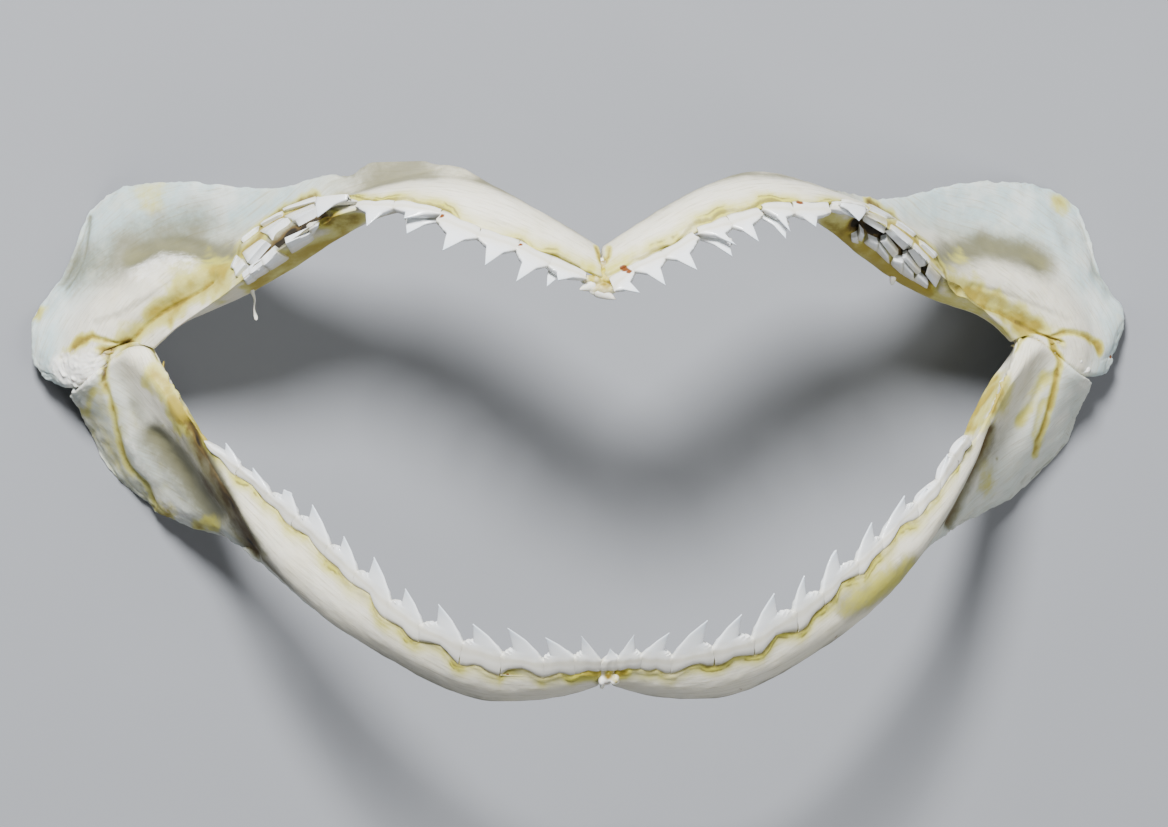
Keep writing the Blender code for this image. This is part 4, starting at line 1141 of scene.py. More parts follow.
def soften_base(points, rings, spots):
    """Even out the rings around a crown's base, so that it grows out of its root."""
    order = np.lexsort((spots, rings))
    grid = points[order].reshape(-1, AROUND, 3)
    first, last = len(ROOT_RINGS) - 3, len(ROOT_RINGS) + 7
    kept = [0] + list(range(AROUND // 2 - 2, AROUND // 2 + 3))
    sharp = grid[:, kept].copy()
    for step in range(4):
        beside = grid[first - 1:last - 1] + grid[first + 1:last + 1]
        grid[first:last] = 0.5 * grid[first:last] + 0.25 * beside
    grid[:, kept] = sharp
    result = points.copy()
    result[order] = grid.reshape(-1, 3)
    return result


def shape_tooth(blank, half, tooth, settings, luck, behind):
    """Copy the blank and set the copy in its place on the jaw."""
    piece = copy_of(blank)
    rings = read_values(piece, "ring").round().astype(int)
    spots = read_values(piece, "spot").round().astype(int)
    upper = half.jaw == "upper"
    middle = (tooth.start + tooth.end) / 2
    lean = half.inward(middle) * CROWN_REACH + UP * CROWN_RISE
    start = half.at("tooth", tooth.start) + lean * (tooth.rise_start / CROWN_REACH)
    end = half.at("tooth", tooth.end) + lean * (tooth.rise_end / CROWN_REACH)
    base_line = end - start
    width = base_line.length
    crown = (lean - base_line * (lean.dot(base_line) / base_line.length_squared)).normalized()
    facing = crown.cross(base_line).normalized()
    if facing.z < 0.0:
        facing = -facing
    height = tooth.height / CROWN_REACH / tooth.kept
    heel_scale = luck.uniform(0.8, 1.25)
    curve = 1.0 if upper else min(1.0, max(0.2, (width - 2.6) / 2.0))
    thickness = settings.thickness / MM * (0.55 + 0.45 * width / 5.0)
    proud = ROOT_PROUD * luck.uniform(0.8, 1.2)
    saw = settings.serration / MM
    roots = len(ROOT_RINGS)
    rough_top = luck.uniform(0.0, 6.0)
    root_share, root_more = ROOT_REACH[half.jaw]
    sink_more = SECOND_ROW_SINK if behind else 0.0
    hidden = HIDDEN_BASE if behind else 0.0
    bare = behind > 0.0 or (not upper and tooth.tip < 0.0)
    points = []
    crown_share = []
    seam = []
    for ring, spot in zip(rings, spots):
        turn = 2.0 * math.pi * spot / AROUND
        u = -math.cos(turn)
        front = math.sin(turn)
        lens = math.copysign(abs(front) ** (0.6 if ring < roots else 0.7), front)
        if ring < roots:
            down = ROOT_RINGS[ring]
            x = (0.515 + ROOT_OVERLAP * min(1.0, down * 3.0)) * u
            offset = proud * (1.0 - down ** 5) - 0.3 * down ** 6
            sink = ROOT_SUNK
        else:
            share = ((ring - roots) / CROWN_RINGS) ** 1.25 * tooth.kept
            down = 0.0
            free = max(0.0, share - hidden) / (1.0 - hidden)
            mesial, distal = crown_limits(upper, tooth.tip, free, heel_scale, curve, bare)
            nick = saw / width * (1 if ring % 2 else -1) * min(1.0, share * 8) * (1.0 - share)
            x = (mesial - nick) * (1 - u) / 2 + (distal + nick) * (1 + u) / 2
            offset = proud + (thickness * 0.22 - proud) * min(1.0, share * 1.6)
            offset *= 1.0 - 0.75 * share
            sink = ROOT_SUNK * (1.0 - min(1.0, share * 3.0))
            sink = min(sink + thickness * 0.5 * (1.0 - 0.8 * share), ROOT_SUNK)
        spread = min(max(x, -0.5), 0.5) + 0.5
        place = tooth.start + (tooth.end - tooth.start) * spread
        level_line = start + base_line * (x + 0.5)
        if ring < roots:
            top = (tooth.rise_start + (tooth.rise_end - tooth.rise_start) * spread) / CROWN_REACH
            corner = 0.4 * min(1.0, abs(u)) ** 6
            bottom = half.gum_depth(place) * root_share + root_more - corner
            reach = top * (1.0 - down) - bottom * down
            on_face, normal = half.face_point(place, reach)
            settle = min(1.0, down * 1.8)
            point = level_line.lerp(on_face, settle)
            out = facing.lerp(normal, settle).normalized()
            crown_share.append(-down)
        else:
            chip = 0.0
            if tooth.kept < 1.0 and ring == roots + CROWN_RINGS:
                chip = CHIP * math.sin(2.2 * x * 6.0 + rough_top)
            on_heel = ring % 3 == 1 and u > 0.8 and 0.02 < share < 0.22 * heel_scale
            bumpy = on_heel and not (upper or bare)
            bump = HEEL_BUMP * min(1.0, height - 1.2) if bumpy else 0.0
            point = level_line + crown * (share * (height + sink_more) - sink_more + chip + bump)
            out = facing
            crown_share.append(share)
        amount = offset * max(lens, 0.0) + sink * min(lens, 0.0)
        valley = ROOT_LOBES * math.cos(4.0 * math.pi * x)
        valley *= math.sin(math.pi * min(1.0, down)) * (front > 0.0)
        set_back = behind if middle < ROW_TURNS else -0.5 * behind
        point = point + out * (amount - valley) - facing * set_back
        seam.append(0.2 * abs(u) ** 6 * (1.0 if ring < roots else max(0.0, 1.0 - share * 10.0)))
        points.append(half.mirror(point))
    write_points(piece, soften_base(np.array([p[:] for p in points]), rings, spots))
    write_values(piece, "crown", crown_share)
    write_values(piece, "seam", seam)
    return piece


def join_pieces(pieces, name):
    make_active(pieces[0])
    for piece in pieces:
        piece.select_set(True)
    bpy.ops.object.join()
    joined = bpy.context.object
    joined.name = name
    joined.data.name = name
    return joined


def tidy_normals(piece, angle):
    """Turn all faces outwards and keep only the edges sharper than the angle hard."""
    face_outwards(piece)
    bpy.ops.object.shade_smooth_by_angle(angle=math.radians(angle))


def tooth_row(half, teeth, settings, blank, name, behind):
    """One row of teeth, each shaped from its own copy of the blank."""
    luck = random.Random(name)
    pieces = [shape_tooth(blank, half, tooth, settings, luck, behind) for tooth in teeth]
    row = join_pieces(pieces, name)
    tidy_normals(row, 50.0)
    write_values(row, "red", dried_specks(read_points(row), read_normals(row)))
    return row


def tile_blank():
    """A small cushion-shaped crown for the folded rear rows."""
    deselect_all()
    bpy.ops.mesh.primitive_cube_add(size=1.0 * MM)
    blank = bpy.context.object
    bpy.ops.object.mode_set(mode='EDIT')
    bpy.ops.mesh.select_all(action='SELECT')
    bpy.ops.mesh.subdivide(number_cuts=4)
    bpy.ops.mesh.bevel(offset=0.025 * MM, segments=2, affect='EDGES')
    bpy.ops.object.mode_set(mode='OBJECT')
    return blank


def shape_tile(blank, corners, luck, ground, sheathed):
    """Copy the blank to its four corners on the ground; the first two are its root."""
    piece = copy_of(blank)
    points = read_points(piece)
    corners = np.array(corners)
    middle = corners.mean(axis=0)
    a, b, c, d = middle + (corners - middle) * (1.0 if sheathed == 1.0 else 1.08)
    normal = np.cross(b - a, d - a)
    normal /= np.linalg.norm(normal)
    if normal[2] < 0.0:
        normal = -normal
    u, v, top = points[:, 0, None] + 0.5, points[:, 1, None] + 0.5, points[:, 2, None]
    spot = a * (1 - u) * (1 - v) + b * u * (1 - v) + c * u * v + d * (1 - u) * v
    dome = (1.0 - 0.7 * (2 * u - 1) ** 8) * (1.0 - 0.4 * (2 * v - 1) ** 8)
    out = 0.24 * (top + 0.5) * dome + 0.34 * v + luck.uniform(-0.04, 0.06)
    out = np.where(top < -0.3, -0.5, out)
    lift = 0.1 if np.linalg.norm(b - a) < 1.0 else 0.1 + 0.3 * (sheathed < 1.0)
    placed = spot + normal * out
    u, v = u[:, 0], v[:, 0]
    for index in np.flatnonzero(points[:, 2] > -0.3):
        x, y = placed[index, :2] * MM
        found, hit, _, _ = ground.ray_cast((x, y, 0.1), (0.0, 0.0, -1.0))
        if found:
            placed[index, 2] = max(placed[index, 2], hit.z / MM + lift + 0.15 * v[index])
    write_points(piece, placed)
    write_values(piece, "crown", v * 0.8 - 0.35)
    edges = 0.7 * np.abs(2.0 * u - 1.0) ** 10
    write_values(piece, "seam", np.maximum(unit(1.2 - v * 6.0) * sheathed, edges))
    return piece


# ---- dried tissue ------------------------------------------------------------
# Lumps of dried tissue: middle and size, mm. Its yellow and dark spots: middle and radius.
UPPER_LUMPS = (
    ((-0.4, 16.4, 40.0), (3.0, 1.5, 1.7)), ((-1.0, 17.4, 40.2), (1.4, 1.0, 1.2)),
    ((1.0, 16.5, 40.2), (1.4, 1.2, 1.2)), ((0.9, 17.3, 40.2), (1.3, 1.1, 1.2)),
    ((0.1, 17.6, 39.9), (1.2, 1.2, 1.3)), ((0.1, 18.3, 39.5), (1.0, 1.2, 1.3)),
    ((0.05, 19.1, 38.9), (1.0, 1.3, 1.3)), ((0.1, 18.6, 37.4), (1.8, 2.8, 3.0)),
    ((-1.6, 17.6, 40.1), (1.8, 1.0, 1.2)), ((-2.0, 17.4, 40.0), (1.4, 1.0, 1.1)),
)
UPPER_YELLOW = (((0.1, 17.3, 40.9), 2.6), ((-1.4, 17.6, 40.7), 1.3), ((0.1, 18.6, 40.0), 1.8))
UPPER_DARK = (((0.05, 19.8, 39.2), 0.6), ((0.0, 17.0, 40.8), 0.45), ((0.6, 17.1, 40.8), 0.45))
LOWER_LUMPS = (
    ((0.0, -28.3, 39.4), (2.6, 1.2, 1.4)), ((-1.6, -28.3, 39.6), (1.5, 0.9, 0.9)),
    ((1.6, -28.4, 39.5), (1.5, 0.9, 0.9)), ((0.0, -28.8, 38.0), (1.9, 2.6, 4.0)),
    ((0.85, -29.4, 39.5), (1.1, 1.3, 1.3)), ((-0.75, -29.5, 39.2), (0.6, 1.2, 1.1)),
    ((-0.55, -30.2, 38.6), (0.5, 0.9, 0.8)),
)
LOWER_YELLOW = (
    ((-1.6, -28.3, 40.3), 1.7), ((0.2, -28.5, 40.1), 1.2),
    ((0.9, -29.6, 40.0), 0.4), ((1.8, -28.4, 40.2), 1.7),
)
LOWER_DARK = (((0.1, -29.1, 39.9), 0.45), ((0.0, -30.3, 39.2), 0.5))
# One side's joint, from its inner end to its outer one; the other side is mirrored.
JOINT_LUMPS = (
    ((53.4, 9.5, 10.4), (2.6, 0.5, 0.8)), ((55.2, 10.2, 10.2), (2.8, 0.5, 0.8)),
    ((56.9, 9.8, 9.8), (2.8, 0.6, 0.9)), ((58.4, 8.8, 9.1), (2.8, 0.8, 1.1)),
    ((59.8, 7.6, 7.9), (2.8, 1.0, 1.2)), ((61.2, 6.5, 6.6), (2.6, 1.0, 1.2)),
)
JOINT_YELLOW = (((56.6, 10.1, 10.6), 3.2), ((53.6, 9.8, 11.2), 3.0), ((59.8, 7.9, 8.9), 1.6))
JOINT_DARK = (((56.8, 10.1, 10.6), 1.5), ((54.4, 10.0, 11.0), 0.7))
PALE_THREADS = 45.0        # threads farther out from the middle than this are dark
# Threads and rags: points and radii, mm.
THREADS = (
    (((-0.9, 16.9, 40.0), (-2.0, 16.7, 40.2), (-2.95, 16.3, 40.4)), (1.0, 0.65, 0.05)),
    (((-1.3, 16.3, 40.0), (0.3, 15.8, 40.1), (1.45, 15.1, 40.3)), (0.9, 0.75, 0.05)),
    (((-40.6, 17.3, 19.0), (-40.5, 16.7, 18.4), (-40.1, 15.9, 17.9), (-40.3, 15.0, 17.6),
      (-40.2, 14.3, 17.5), (-40.05, 13.8, 17.5), (-40.0, 13.4, 17.5)),
     (0.45, 0.22, 0.13, 0.1, 0.12, 0.3, 0.16)),
    (((36.6, 18.2, 20.6), (36.5, 17.5, 20.1), (36.5, 16.9, 19.7)), (0.5, 0.42, 0.25)),
    (((-51.3, 6.3, 12.3), (-51.2, 7.3, 12.4), (-51.1, 8.1, 12.3), (-51.0, 8.7, 12.2)),
     (0.35, 0.22, 0.14, 0.06)),
    (((-50.6, 4.9, 13.6), (-50.2, 4.7, 13.4), (-49.8, 4.9, 13.0)), (0.3, 0.2, 0.08)),
    (((-49.4, 2.6, 15.4), (-48.9, 2.5, 15.2), (-48.5, 2.9, 14.9)), (0.3, 0.18, 0.07)),
)


def lumpy_tissue(name, lumps, yellow, dark, seed):
    """Rounded lumps, grown together and roughened."""
    deselect_all()
    bpy.ops.mesh.primitive_cube_add(size=1.0 * MM)
    blank = bpy.context.object
    apply_modifier(blank, "round", 'SUBSURF', levels=3, render_levels=3)
    pieces = []
    for middle, size in lumps:
        piece = copy_of(blank)
        write_points(piece, read_points(piece) * np.array(size) * 1.25 + np.array(middle))
        pieces.append(piece)
    bpy.data.objects.remove(blank)
    tissue = join_pieces(pieces, name)
    apply_modifier(tissue, "grow together", 'REMESH', mode='VOXEL', voxel_size=0.12 * MM,
                   adaptivity=0.0)
    apply_modifier(tissue, "soften", 'SMOOTH', factor=0.6, iterations=3)
    points = read_points(tissue)
    rough = 0.16 * smooth_noise(points, 0.9, seed) + 0.07 * smooth_noise(points, 0.35, seed + 3)
    points = points + read_normals(tissue) * rough[:, None]
    write_points(tissue, points)

    def gap(middle, by_rough):
        return np.linalg.norm(points - np.array(middle), axis=1) + by_rough * rough

    white = np.ones(len(points))
    for middle, radius in yellow:
        white = np.minimum(white, 1.0 - falloff(gap(middle, 2.0), radius) ** 0.6)
    # painted shade: darker where the roughened surface dips in; the dark spots below are the
    # tissue's own
    crease = 0.8 * unit(-rough * 5.0 - 0.1)
    for middle, radius in dark:
        crease = np.maximum(crease, falloff(gap(middle, 1.5), radius * 1.5))
    write_values(tissue, "white", white)
    write_values(tissue, "dark", crease)
    make_active(tissue)
    bpy.ops.object.shade_smooth()
    return tissue


def thread(points, radii):
    """A thin dried thread: a ring extruded from point to point."""
    deselect_all()
    bpy.ops.mesh.primitive_circle_add(vertices=10, radius=0.1 * MM)
    strand = bpy.context.object
    bpy.ops.object.mode_set(mode='EDIT')
    bpy.ops.mesh.edge_face_add()
    points = [Vector(p) for p in points]
    for index, (point, radius) in enumerate(zip(points, radii)):
        if index:
            bpy.ops.mesh.extrude_region_move()
        ahead = points[min(index + 1, len(points) - 1)] - points[max(index - 1, 0)]
        turn = ahead.to_track_quat('Z', 'Y')
        mesh = bmesh.from_edit_mesh(strand.data)
        chosen = [vert for vert in mesh.verts if vert.select]
        for number, vert in enumerate(chosen):
            angle = 2.0 * math.pi * number / len(chosen)
            if index == 0:
                spoke = turn @ Vector((math.cos(angle), math.sin(angle), 0.0))
                vert.co = (point + spoke * radius) * MM
            else:
                middle = points[index - 1] * MM
                vert.co = point * MM + (vert.co - middle) * (radius / radii[index - 1])
        bmesh.update_edit_mesh(strand.data)
    bpy.ops.object.mode_set(mode='OBJECT')
    apply_modifier(strand, "smooth", 'SUBSURF', levels=2, render_levels=2)
    return strand


# ---- materials ---------------------------------------------------------------
class Nodes:
    """Short names for the nodes that the finishes are made of."""

    def __init__(self, tree):
        self.tree = tree

    def feed(self, socket, value):
        """Link the socket to another one, or set its constant."""
        if isinstance(value, bpy.types.NodeSocket):
            self.tree.links.new(value, socket)
        else:
            socket.default_value = value

    def add(self, kind, inputs=None, **values):
        made = self.tree.nodes.new(kind)
        for key, value in values.items():
            setattr(made, key, value)
        for key, value in (inputs or {}).items():
            self.feed(made.inputs[key], value)
        return made

    def value(self, name):
        return self.add("ShaderNodeAttribute", attribute_name=name).outputs["Fac"]

    def vector(self, name):
        return self.add("ShaderNodeAttribute", attribute_name=name).outputs["Vector"]

    def place(self):
        return self.add("ShaderNodeTexCoord").outputs["Object"]

    def noise(self, scale, detail, vector, rough):
        inputs = {"Scale": scale, "Detail": detail, "Roughness": rough, "Vector": vector}
        return self.add("ShaderNodeTexNoise", inputs).outputs["Fac"]

    def plus(self, a, b):
        return self.add("ShaderNodeMath", {0: a, 1: b}, operation='ADD').outputs[0]

    def times(self, a, b):
        return self.add("ShaderNodeMath", {0: a, 1: b}, operation='MULTIPLY').outputs[0]

    def span(self, value, low, high, to_low=0.0, to_high=1.0):
        """The value's way from low to high, as a smooth mask."""
        made = self.add("ShaderNodeMapRange", {"Value": value, "From Min": low, "From Max": high,
                                               "To Min": to_low, "To Max": to_high},
                        interpolation_type='SMOOTHSTEP')
        return made.outputs["Result"]

    def mix(self, factor, a, b):
        """One colour over another, each a socket or three numbers."""
        a, b = (c if isinstance(c, bpy.types.NodeSocket) else (*c, 1.0) for c in (a, b))
        made = self.add("ShaderNodeMix", {0: factor, 6: a, 7: b}, data_type='RGBA')
        return made.outputs[2]

    def layers(self, base, *coats):
        """Coats of colour over the base: the mask and the colour of each."""
        for mask, coat in coats:
            base = self.mix(mask, base, coat)
        return base


def dried_surface():
    """Node group: broad clouds, fine grain and a height that all dried parts share."""
    found = bpy.data.node_groups.get("dried surface")
    if found:
        return found
    tree = bpy.data.node_groups.new("dried surface", "ShaderNodeTree")
    for name, value in (("Cloud Scale", 260.0), ("Grain Scale", 1400.0)):
        socket = tree.interface.new_socket(name=name, in_out='INPUT', socket_type='NodeSocketFloat')
        socket.default_value = value
    for name in ("Cloud", "Grain", "Height"):
        tree.interface.new_socket(name=name, in_out='OUTPUT', socket_type='NodeSocketFloat')
    n = Nodes(tree)
    scales = n.add("NodeGroupInput").outputs
    place = n.place()
    cloud = n.noise(scales["Cloud Scale"], 5.0, place, 0.55)
    grain = n.noise(scales["Grain Scale"], 4.0, place, 0.6)
    pits = n.add("ShaderNodeTexVoronoi", {"Vector": place, "Scale": scales["Grain Scale"]})
    height = n.plus(n.times(grain, 0.7), n.times(pits.outputs["Distance"], 0.3))
    n.add("NodeGroupOutput", {"Cloud": cloud, "Grain": grain, "Height": height})
    return tree


def close_finish(n, shader, base, rough, height, strength, distance):
    """Link the colour, the roughness and the bump, whose distance is in mm, to the shader."""
    bump = n.add("ShaderNodeBump",
                 {"Strength": strength, "Distance": distance * MM, "Height": height})
    n.tree.links.new(base, shader.inputs["Base Color"])
    n.tree.links.new(rough, shader.inputs["Roughness"])
    n.tree.links.new(bump.outputs[0], shader.inputs["Normal"])


def speckled(n, jitter):
    """Mask of the dried blood, broken up into grains."""
    red = n.plus(n.value("red"), n.times(jitter, 1.5))
    return n.times(n.span(red, 0.25, 0.5), n.span(n.value("red"), 0.02, 0.2))


def cartilage_finish(n, shader, surface, settings):
    cloud = surface["Cloud"]
    jitter, drift = n.plus(surface["Grain"], -0.5), n.plus(cloud, -0.5)

    def loosened(name, by_fine, by_cloud):
        """A painted value whose edge the surface noise breaks up, only where there is any."""
        value = n.value(name)
        loose = n.plus(n.times(jitter, by_fine), n.times(drift, by_cloud))
        return n.plus(value, n.times(loose, n.span(value, 0.02, 0.3)))

    def band(value, starts, ends, low, high, *clouds):
        """Mask of a band along the gum, uneven with the clouds."""
        return n.times(n.times(n.span(value, *starts), n.span(value, *ends)),
                       n.span(cloud, *clouds, low, high))

    grain = n.add("ShaderNodeMapping", {"Vector": n.vector("grain"), "Scale": (0.3, 3.4, 1.0)})
    fibre = n.noise(1.0, 6.0, grain.outputs[0], 0.62)
    gum = n.plus(n.value("gum_line"), n.times(jitter, 0.5))
    stain = loosened("stain", 0.35, 0.9)
    base = n.layers(
        n.mix(n.value("thin"), settings.cream, settings.plate),
        (n.span(cloud, 0.42, 0.7, 0.0, 0.5), (0.82, 0.80, 0.72)),
        (n.span(cloud, 0.46, 0.28, 0.0, 0.3), (0.74, 0.68, 0.47)),
        (n.span(fibre, 0.46, 0.76, 0.0, 0.75), (0.42, 0.39, 0.27)),
        # painted shade in the hollows of the surface
        (n.span(n.value("hollow"), 0.05, 0.9, 0.0, 0.5), settings.olive),
        (band(gum, (-1.6, -1.0), (2.4, 0.4), 0.45, 1.0, 0.32, 0.6), settings.yellow),
        (band(gum, (-0.3, -0.05), (0.45, 0.15), 0.35, 0.85, 0.36, 0.6), settings.mustard),
        (band(gum, (0.55, 0.75), (1.0, 0.8), 0.0, 0.75, 0.5, 0.58), settings.mustard),
        # painted shade: the shade marks in olive, with some grey tone of the cartilage
        (n.span(loosened("shade", 0.3, 0.8), 0.05, 0.9, 0.0, 0.86), settings.olive),
        (n.span(stain, 0.05, 0.6, 0.0, 0.8), settings.yellow),
        (n.span(stain, 0.5, 1.0, 0.0, 0.85), settings.ochre),
        # brown of the dried tissue in the grooves, and painted shade in the creases and gaps
        (n.span(loosened("brown", 0.5, 0.5), 0.1, 0.8, 0.0, 0.95), settings.brown),
        # near black: painted shadow in the gaps between the rear rows and the creases beside the
        # lower bars
        (n.span(n.value("brown"), 0.8, 0.95, 0.0, 0.97), (0.012, 0.008, 0.003)),
        (speckled(n, jitter), settings.red),
        (n.span(loosened("chalk", 0.8, 0.4), 0.15, 0.6, 0.0, 0.85), (0.90, 0.89, 0.84)))
    rough = n.span(cloud, 0.3, 0.7, 0.48, 0.64)
    rough = n.plus(rough, n.times(n.value("chalk"), 0.25))
    rough = n.plus(rough, n.times(n.value("brown"), 0.4))
    height = n.plus(n.times(fibre, 0.45), n.times(surface["Height"], 0.55))
    close_finish(n, shader, base, rough, height, 0.5, 0.14)
    shader.inputs["Subsurface Weight"].default_value = 0.1
    shader.inputs["Subsurface Radius"].default_value = (1.0, 0.75, 0.45)
    shader.inputs["Subsurface Scale"].default_value = 0.25 * MM


def tooth_finish(n, shader, surface, settings):
    crown = n.value("crown")
    jitter = n.times(n.plus(surface["Grain"], -0.5), 0.4)
    mask = n.span(n.plus(crown, jitter), -0.15, 0.3)
    seam = n.times(n.value("seam"), n.span(surface["Cloud"], 0.35, 0.6, 0.3, 1.0))
    line = n.times(n.span(crown, -0.5, -0.3), n.span(crown, -0.05, -0.2))
    base = n.layers(
        n.mix(mask, settings.root, settings.enamel),
        (n.span(crown, 0.4, 1.0, 0.0, 0.6), (0.62, 0.72, 0.83)),
        (n.span(crown, -0.72, -1.0, 0.0, 0.75), settings.gum),
        (n.times(seam, 0.8), settings.gum),
        (n.times(line, 0.35), (0.62, 0.58, 0.42)),
        (speckled(n, jitter), bpy.context.scene.sharkjaw_cartilage.red))
    rough = n.span(mask, 0.0, 1.0, 0.42, 0.16)
    close_finish(n, shader, base, rough, surface["Height"], 0.25, 0.06)
    shader.inputs["Subsurface Weight"].default_value = 0.15
    shader.inputs["Subsurface Radius"].default_value = (0.8, 0.9, 1.0)
    shader.inputs["Subsurface Scale"].default_value = 0.2 * MM


def tissue_finish(n, shader, surface, settings):
    base = n.layers(
        n.mix(n.span(surface["Cloud"], 0.35, 0.65), settings.amber, settings.pale),
        (n.span(surface["Grain"], 0.58, 0.75, 0.0, 0.6), settings.dark),
        (n.value("white"), (0.86, 0.85, 0.80)),
        (n.value("dark"), settings.dark))
    rough = n.span(surface["Cloud"], 0.3, 0.7, 0.45, 0.65)
    close_finish(n, shader, base, rough, surface["Height"], 0.6, 0.12)
    shader.inputs["Subsurface Weight"].default_value = 0.15
    shader.inputs["Subsurface Radius"].default_value = (1.0, 0.6, 0.2)
    shader.inputs["Subsurface Scale"].default_value = 0.3 * MM


def floor_finish(n, shader, surface, settings):
    darker = tuple(c * 0.95 for c in settings.floor)
    n.tree.links.new(n.mix(surface["Cloud"], settings.floor, darker), shader.inputs["Base Color"])
    shader.inputs["Roughness"].default_value = 0.8


# How each finish is made, and the size of its clouds and its grain.
FINISHES = {
    "dried cartilage": (cartilage_finish, 230.0, 1500.0),
    "tooth": (tooth_finish, 420.0, 1300.0),
    "dried tissue": (tissue_finish, 520.0, 1700.0),
    "floor": (floor_finish, 60.0, 900.0),
}


def finish(name, settings):
    """The named finish, made when it is first asked for."""
    material = bpy.data.materials.get(name)
    if material:
        return material
    make, cloud_scale, grain_scale = FINISHES[name]
    material = bpy.data.materials.new(name)
    material.use_nodes = True
    n = Nodes(material.node_tree)
    scales = {"Cloud Scale": cloud_scale, "Grain Scale": grain_scale}
    surface = n.add("ShaderNodeGroup", scales, node_tree=dried_surface()).outputs
    make(n, material.node_tree.nodes["Principled BSDF"], surface, settings)
    return material


# ---- operators ---------------------------------------------------------------
def build_cartilages(scene, jaw):
    settings = scene.sharkjaw_cartilage
    for side in SIDES:
        half = Half(jaw, side)
        piece = loft_cartilage(half, settings.smoothing)
        surface_cartilage(half, piece, settings)
        make_active(piece)
        bpy.ops.object.shade_smooth()
        material = finish("dried cartilage", settings)
        finish_piece(piece, material, "cartilage", jaw + "_jaw_" + side)


class SHARKJAW_OT_upper_cartilages(bpy.types.Operator):
    """Model the two upper cartilages with their hollows, grooves and stains"""
    bl_idname = "sharkjaw.upper_cartilages"
    bl_label = "Upper cartilages"

    def execute(self, context):
        build_cartilages(context.scene, "upper")
        return {'FINISHED'}


class SHARKJAW_OT_lower_cartilages(bpy.types.Operator):
    """Model the two lower cartilages with their hollows, grooves and stains"""
    bl_idname = "sharkjaw.lower_cartilages"
    bl_label = "Lower cartilages"

    def execute(self, context):
        build_cartilages(context.scene, "lower")
        return {'FINISHED'}


class SHARKJAW_OT_teeth(bpy.types.Operator):
    """Model one tooth and set its copies along the four halves"""
    bl_idname = "sharkjaw.teeth"
    bl_label = "Functional teeth"

    def execute(self, context):
        settings = context.scene.sharkjaw_teeth
        blank = tooth_blank()
        rows = [(jaw, side, f"{jaw}_{side}_teeth", teeth, 0.0)
                for (jaw, side), teeth in TEETH.items()]
        rows += [("upper", side, f"upper_{side}_second_row", teeth, SECOND_ROW_BACK)
                 for side, teeth in SECOND_ROW.items()]
        rows.append(("lower", "right", "lower_middle_tooth", (MIDDLE_TOOTH,), 0.0))
        for jaw, side, name, teeth, behind in rows:
            row = tooth_row(Half(jaw, side), teeth, settings, blank, name, behind)
            finish_piece(row, finish("tooth", settings), "cartilage")
        bpy.data.objects.remove(blank)
        return {'FINISHED'}


class SHARKJAW_OT_rear_rows(bpy.types.Operator):
    """Lay the small folded crowns over the rear of the upper jaw"""
    bl_idname = "sharkjaw.rear_rows"
    bl_label = "Rear rows of crowns"

    def execute(self, context):
        settings = context.scene.sharkjaw_teeth
        blank = tile_blank()
        for side, places in TILES.items():
            luck = random.Random(side)
            ground = bpy.data.objects["upper_" + side + "_cartilage"]
            sheaths = [1.0 if index < SHEATHED[side] else 0.2 for index in range(len(places))]
            pieces = [shape_tile(blank, corners, luck, ground, sheathed)
                      for corners, sheathed in zip(places, sheaths)]
            row = join_pieces(pieces, "upper_rear_rows_" + side)
            tidy_normals(row, 45.0)
            finish_piece(row, finish("tooth", settings), "cartilage")
        bpy.data.objects.remove(blank)
        return {'FINISHED'}


class SHARKJAW_OT_tissue(bpy.types.Operator):
    """Grow the lumps of dried tissue in the two symphyses and at the two jaw joints"""
    bl_idname = "sharkjaw.tissue"
    bl_label = "Tissue of the symphyses"

    def execute(self, context):
        settings = context.scene.sharkjaw_tissue
        for name, lumps, yellow, dark, seed in (
                ("upper_symphysis", UPPER_LUMPS, UPPER_YELLOW, UPPER_DARK, 3),
                ("lower_symphysis", LOWER_LUMPS, LOWER_YELLOW, LOWER_DARK, 8)):
            tissue = lumpy_tissue(name + "_tissue", lumps, yellow, dark, seed)
            finish_piece(tissue, finish("dried tissue", settings), "tissue", name)
        for side, sign in (("right", 1.0), ("left", -1.0)):
            flip = np.array((sign, 1.0, 1.0))
            flipped = ([(np.array(middle) * flip, size) for middle, size in spots]
                       for spots in (JOINT_LUMPS, JOINT_YELLOW, JOINT_DARK))
            tissue = lumpy_tissue("joint_tissue_" + side, *flipped, 5)
            finish_piece(tissue, finish("dried tissue", settings), "tissue")
        return {'FINISHED'}


class SHARKJAW_OT_threads(bpy.types.Operator):
    """Hang the threads and rags of dried tissue on the inner edges"""
    bl_idname = "sharkjaw.threads"
    bl_label = "Threads and rags"

    def execute(self, context):
        settings = context.scene.sharkjaw_tissue
        threads = join_pieces([thread(*shape) for shape in THREADS], "tissue_threads")
        pale = np.abs(read_points(threads)[:, 0]) < PALE_THREADS
        write_values(threads, "white", np.where(pale, 0.9, 0.0))
        write_values(threads, "dark", np.where(pale, 0.0, 0.75))
        tidy_normals(threads, 60.0)
        finish_piece(threads, finish("dried tissue", settings), "tissue")
        return {'FINISHED'}


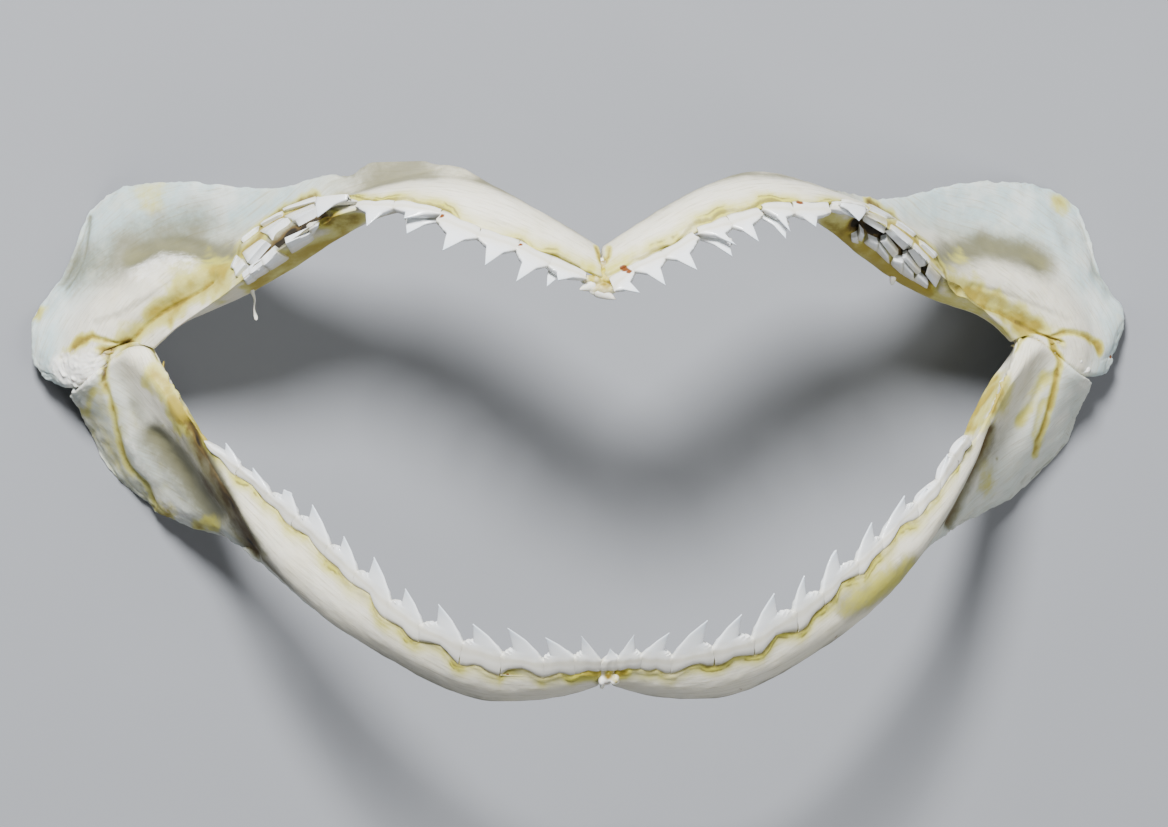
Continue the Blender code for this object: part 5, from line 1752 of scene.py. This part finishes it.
class SHARKJAW_OT_stage(bpy.types.Operator):
    """Lay the floor, hang the soft lights and aim the camera down at the jaw"""
    bl_idname = "sharkjaw.stage"
    bl_label = "Floor, lights and camera"

    def execute(self, context):
        settings = context.scene.sharkjaw_stage
        deselect_all()
        bpy.ops.mesh.primitive_plane_add(size=3.0)
        floor = bpy.context.object
        floor.name = "floor"
        dress(floor, finish("floor", settings))
        for name, place, size in LAMPS:
            lamp = bpy.data.lights.new(name, 'AREA')
            lamp.shape = 'DISK'
            lamp.size = size
            lamp.energy = getattr(settings, name)
            item = bpy.data.objects.new(name, lamp)
            item.location = place
            aim = LAMPS_AIM - Vector(place)
            item.rotation_euler = aim.to_track_quat('-Z', 'Y').to_euler()
            context.scene.collection.objects.link(item)
        world = bpy.data.worlds.new("surround")
        world.use_nodes = True
        sky = world.node_tree.nodes["Background"].inputs
        sky["Color"].default_value = SKY
        sky["Strength"].default_value = settings.air
        context.scene.world = world
        aim_camera(context.scene)
        return {'FINISHED'}


def aim_camera(scene):
    back = Vector((-math.sin(CAMERA_LEAN), 0.0, math.cos(CAMERA_LEAN)))
    right = Vector((math.cos(CAMERA_LEAN), 0.0, math.sin(CAMERA_LEAN)))
    up = Vector((0.0, 1.0, 0.0))
    turned_right = right * math.cos(CAMERA_ROLL) - up * math.sin(CAMERA_ROLL)
    turned_up = right * math.sin(CAMERA_ROLL) + up * math.cos(CAMERA_ROLL)
    data = bpy.data.cameras.new("camera")
    data.sensor_width = SENSOR
    data.lens = SENSOR * CAMERA_DISTANCE / CAMERA_SPAN
    data.clip_start, data.clip_end = CAMERA_CLIP
    camera = bpy.data.objects.new("camera", data)
    axes = Matrix((turned_right, turned_up, back)).transposed()
    camera.matrix_world = Matrix.Translation(CAMERA_TARGET + back * CAMERA_DISTANCE) @ axes.to_4x4()
    scene.collection.objects.link(camera)
    scene.camera = camera


class SHARKJAW_PT_panel(bpy.types.Panel):
    """The steps that build the jaw, in order, with their settings"""
    bl_idname = "SHARKJAW_PT_panel"
    bl_label = "Shark jaw"
    bl_space_type = 'VIEW_3D'
    bl_region_type = 'UI'
    bl_category = "Shark jaw"

    def draw(self, context):
        layout = self.layout
        for name in GROUPS:
            group = getattr(context.scene, "sharkjaw_" + name)
            box = layout.box()
            for setting in group.__annotations__:
                box.prop(group, setting)
        for step in STEPS:
            layout.operator(step.bl_idname)


STEPS = (
    SHARKJAW_OT_upper_cartilages,
    SHARKJAW_OT_lower_cartilages,
    SHARKJAW_OT_teeth,
    SHARKJAW_OT_rear_rows,
    SHARKJAW_OT_tissue,
    SHARKJAW_OT_threads,
    SHARKJAW_OT_stage,
)
GROUPS = {
    "cartilage": SHARKJAW_PG_cartilage,
    "teeth": SHARKJAW_PG_teeth,
    "tissue": SHARKJAW_PG_tissue,
    "stage": SHARKJAW_PG_stage,
}
CLASSES = tuple(GROUPS.values()) + STEPS + (SHARKJAW_PT_panel,)


def register():
    for item in CLASSES:
        bpy.utils.register_class(item)
    for name, group in GROUPS.items():
        setattr(bpy.types.Scene, "sharkjaw_" + name, bpy.props.PointerProperty(type=group))


def unregister():
    for name in GROUPS:
        delattr(bpy.types.Scene, "sharkjaw_" + name)
    for item in reversed(CLASSES):
        bpy.utils.unregister_class(item)


def main():
    register()
    for step in STEPS:
        group, name = step.bl_idname.split(".")
        getattr(getattr(bpy.ops, group), name)()
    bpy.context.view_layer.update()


if __name__ == "__main__":
    main()
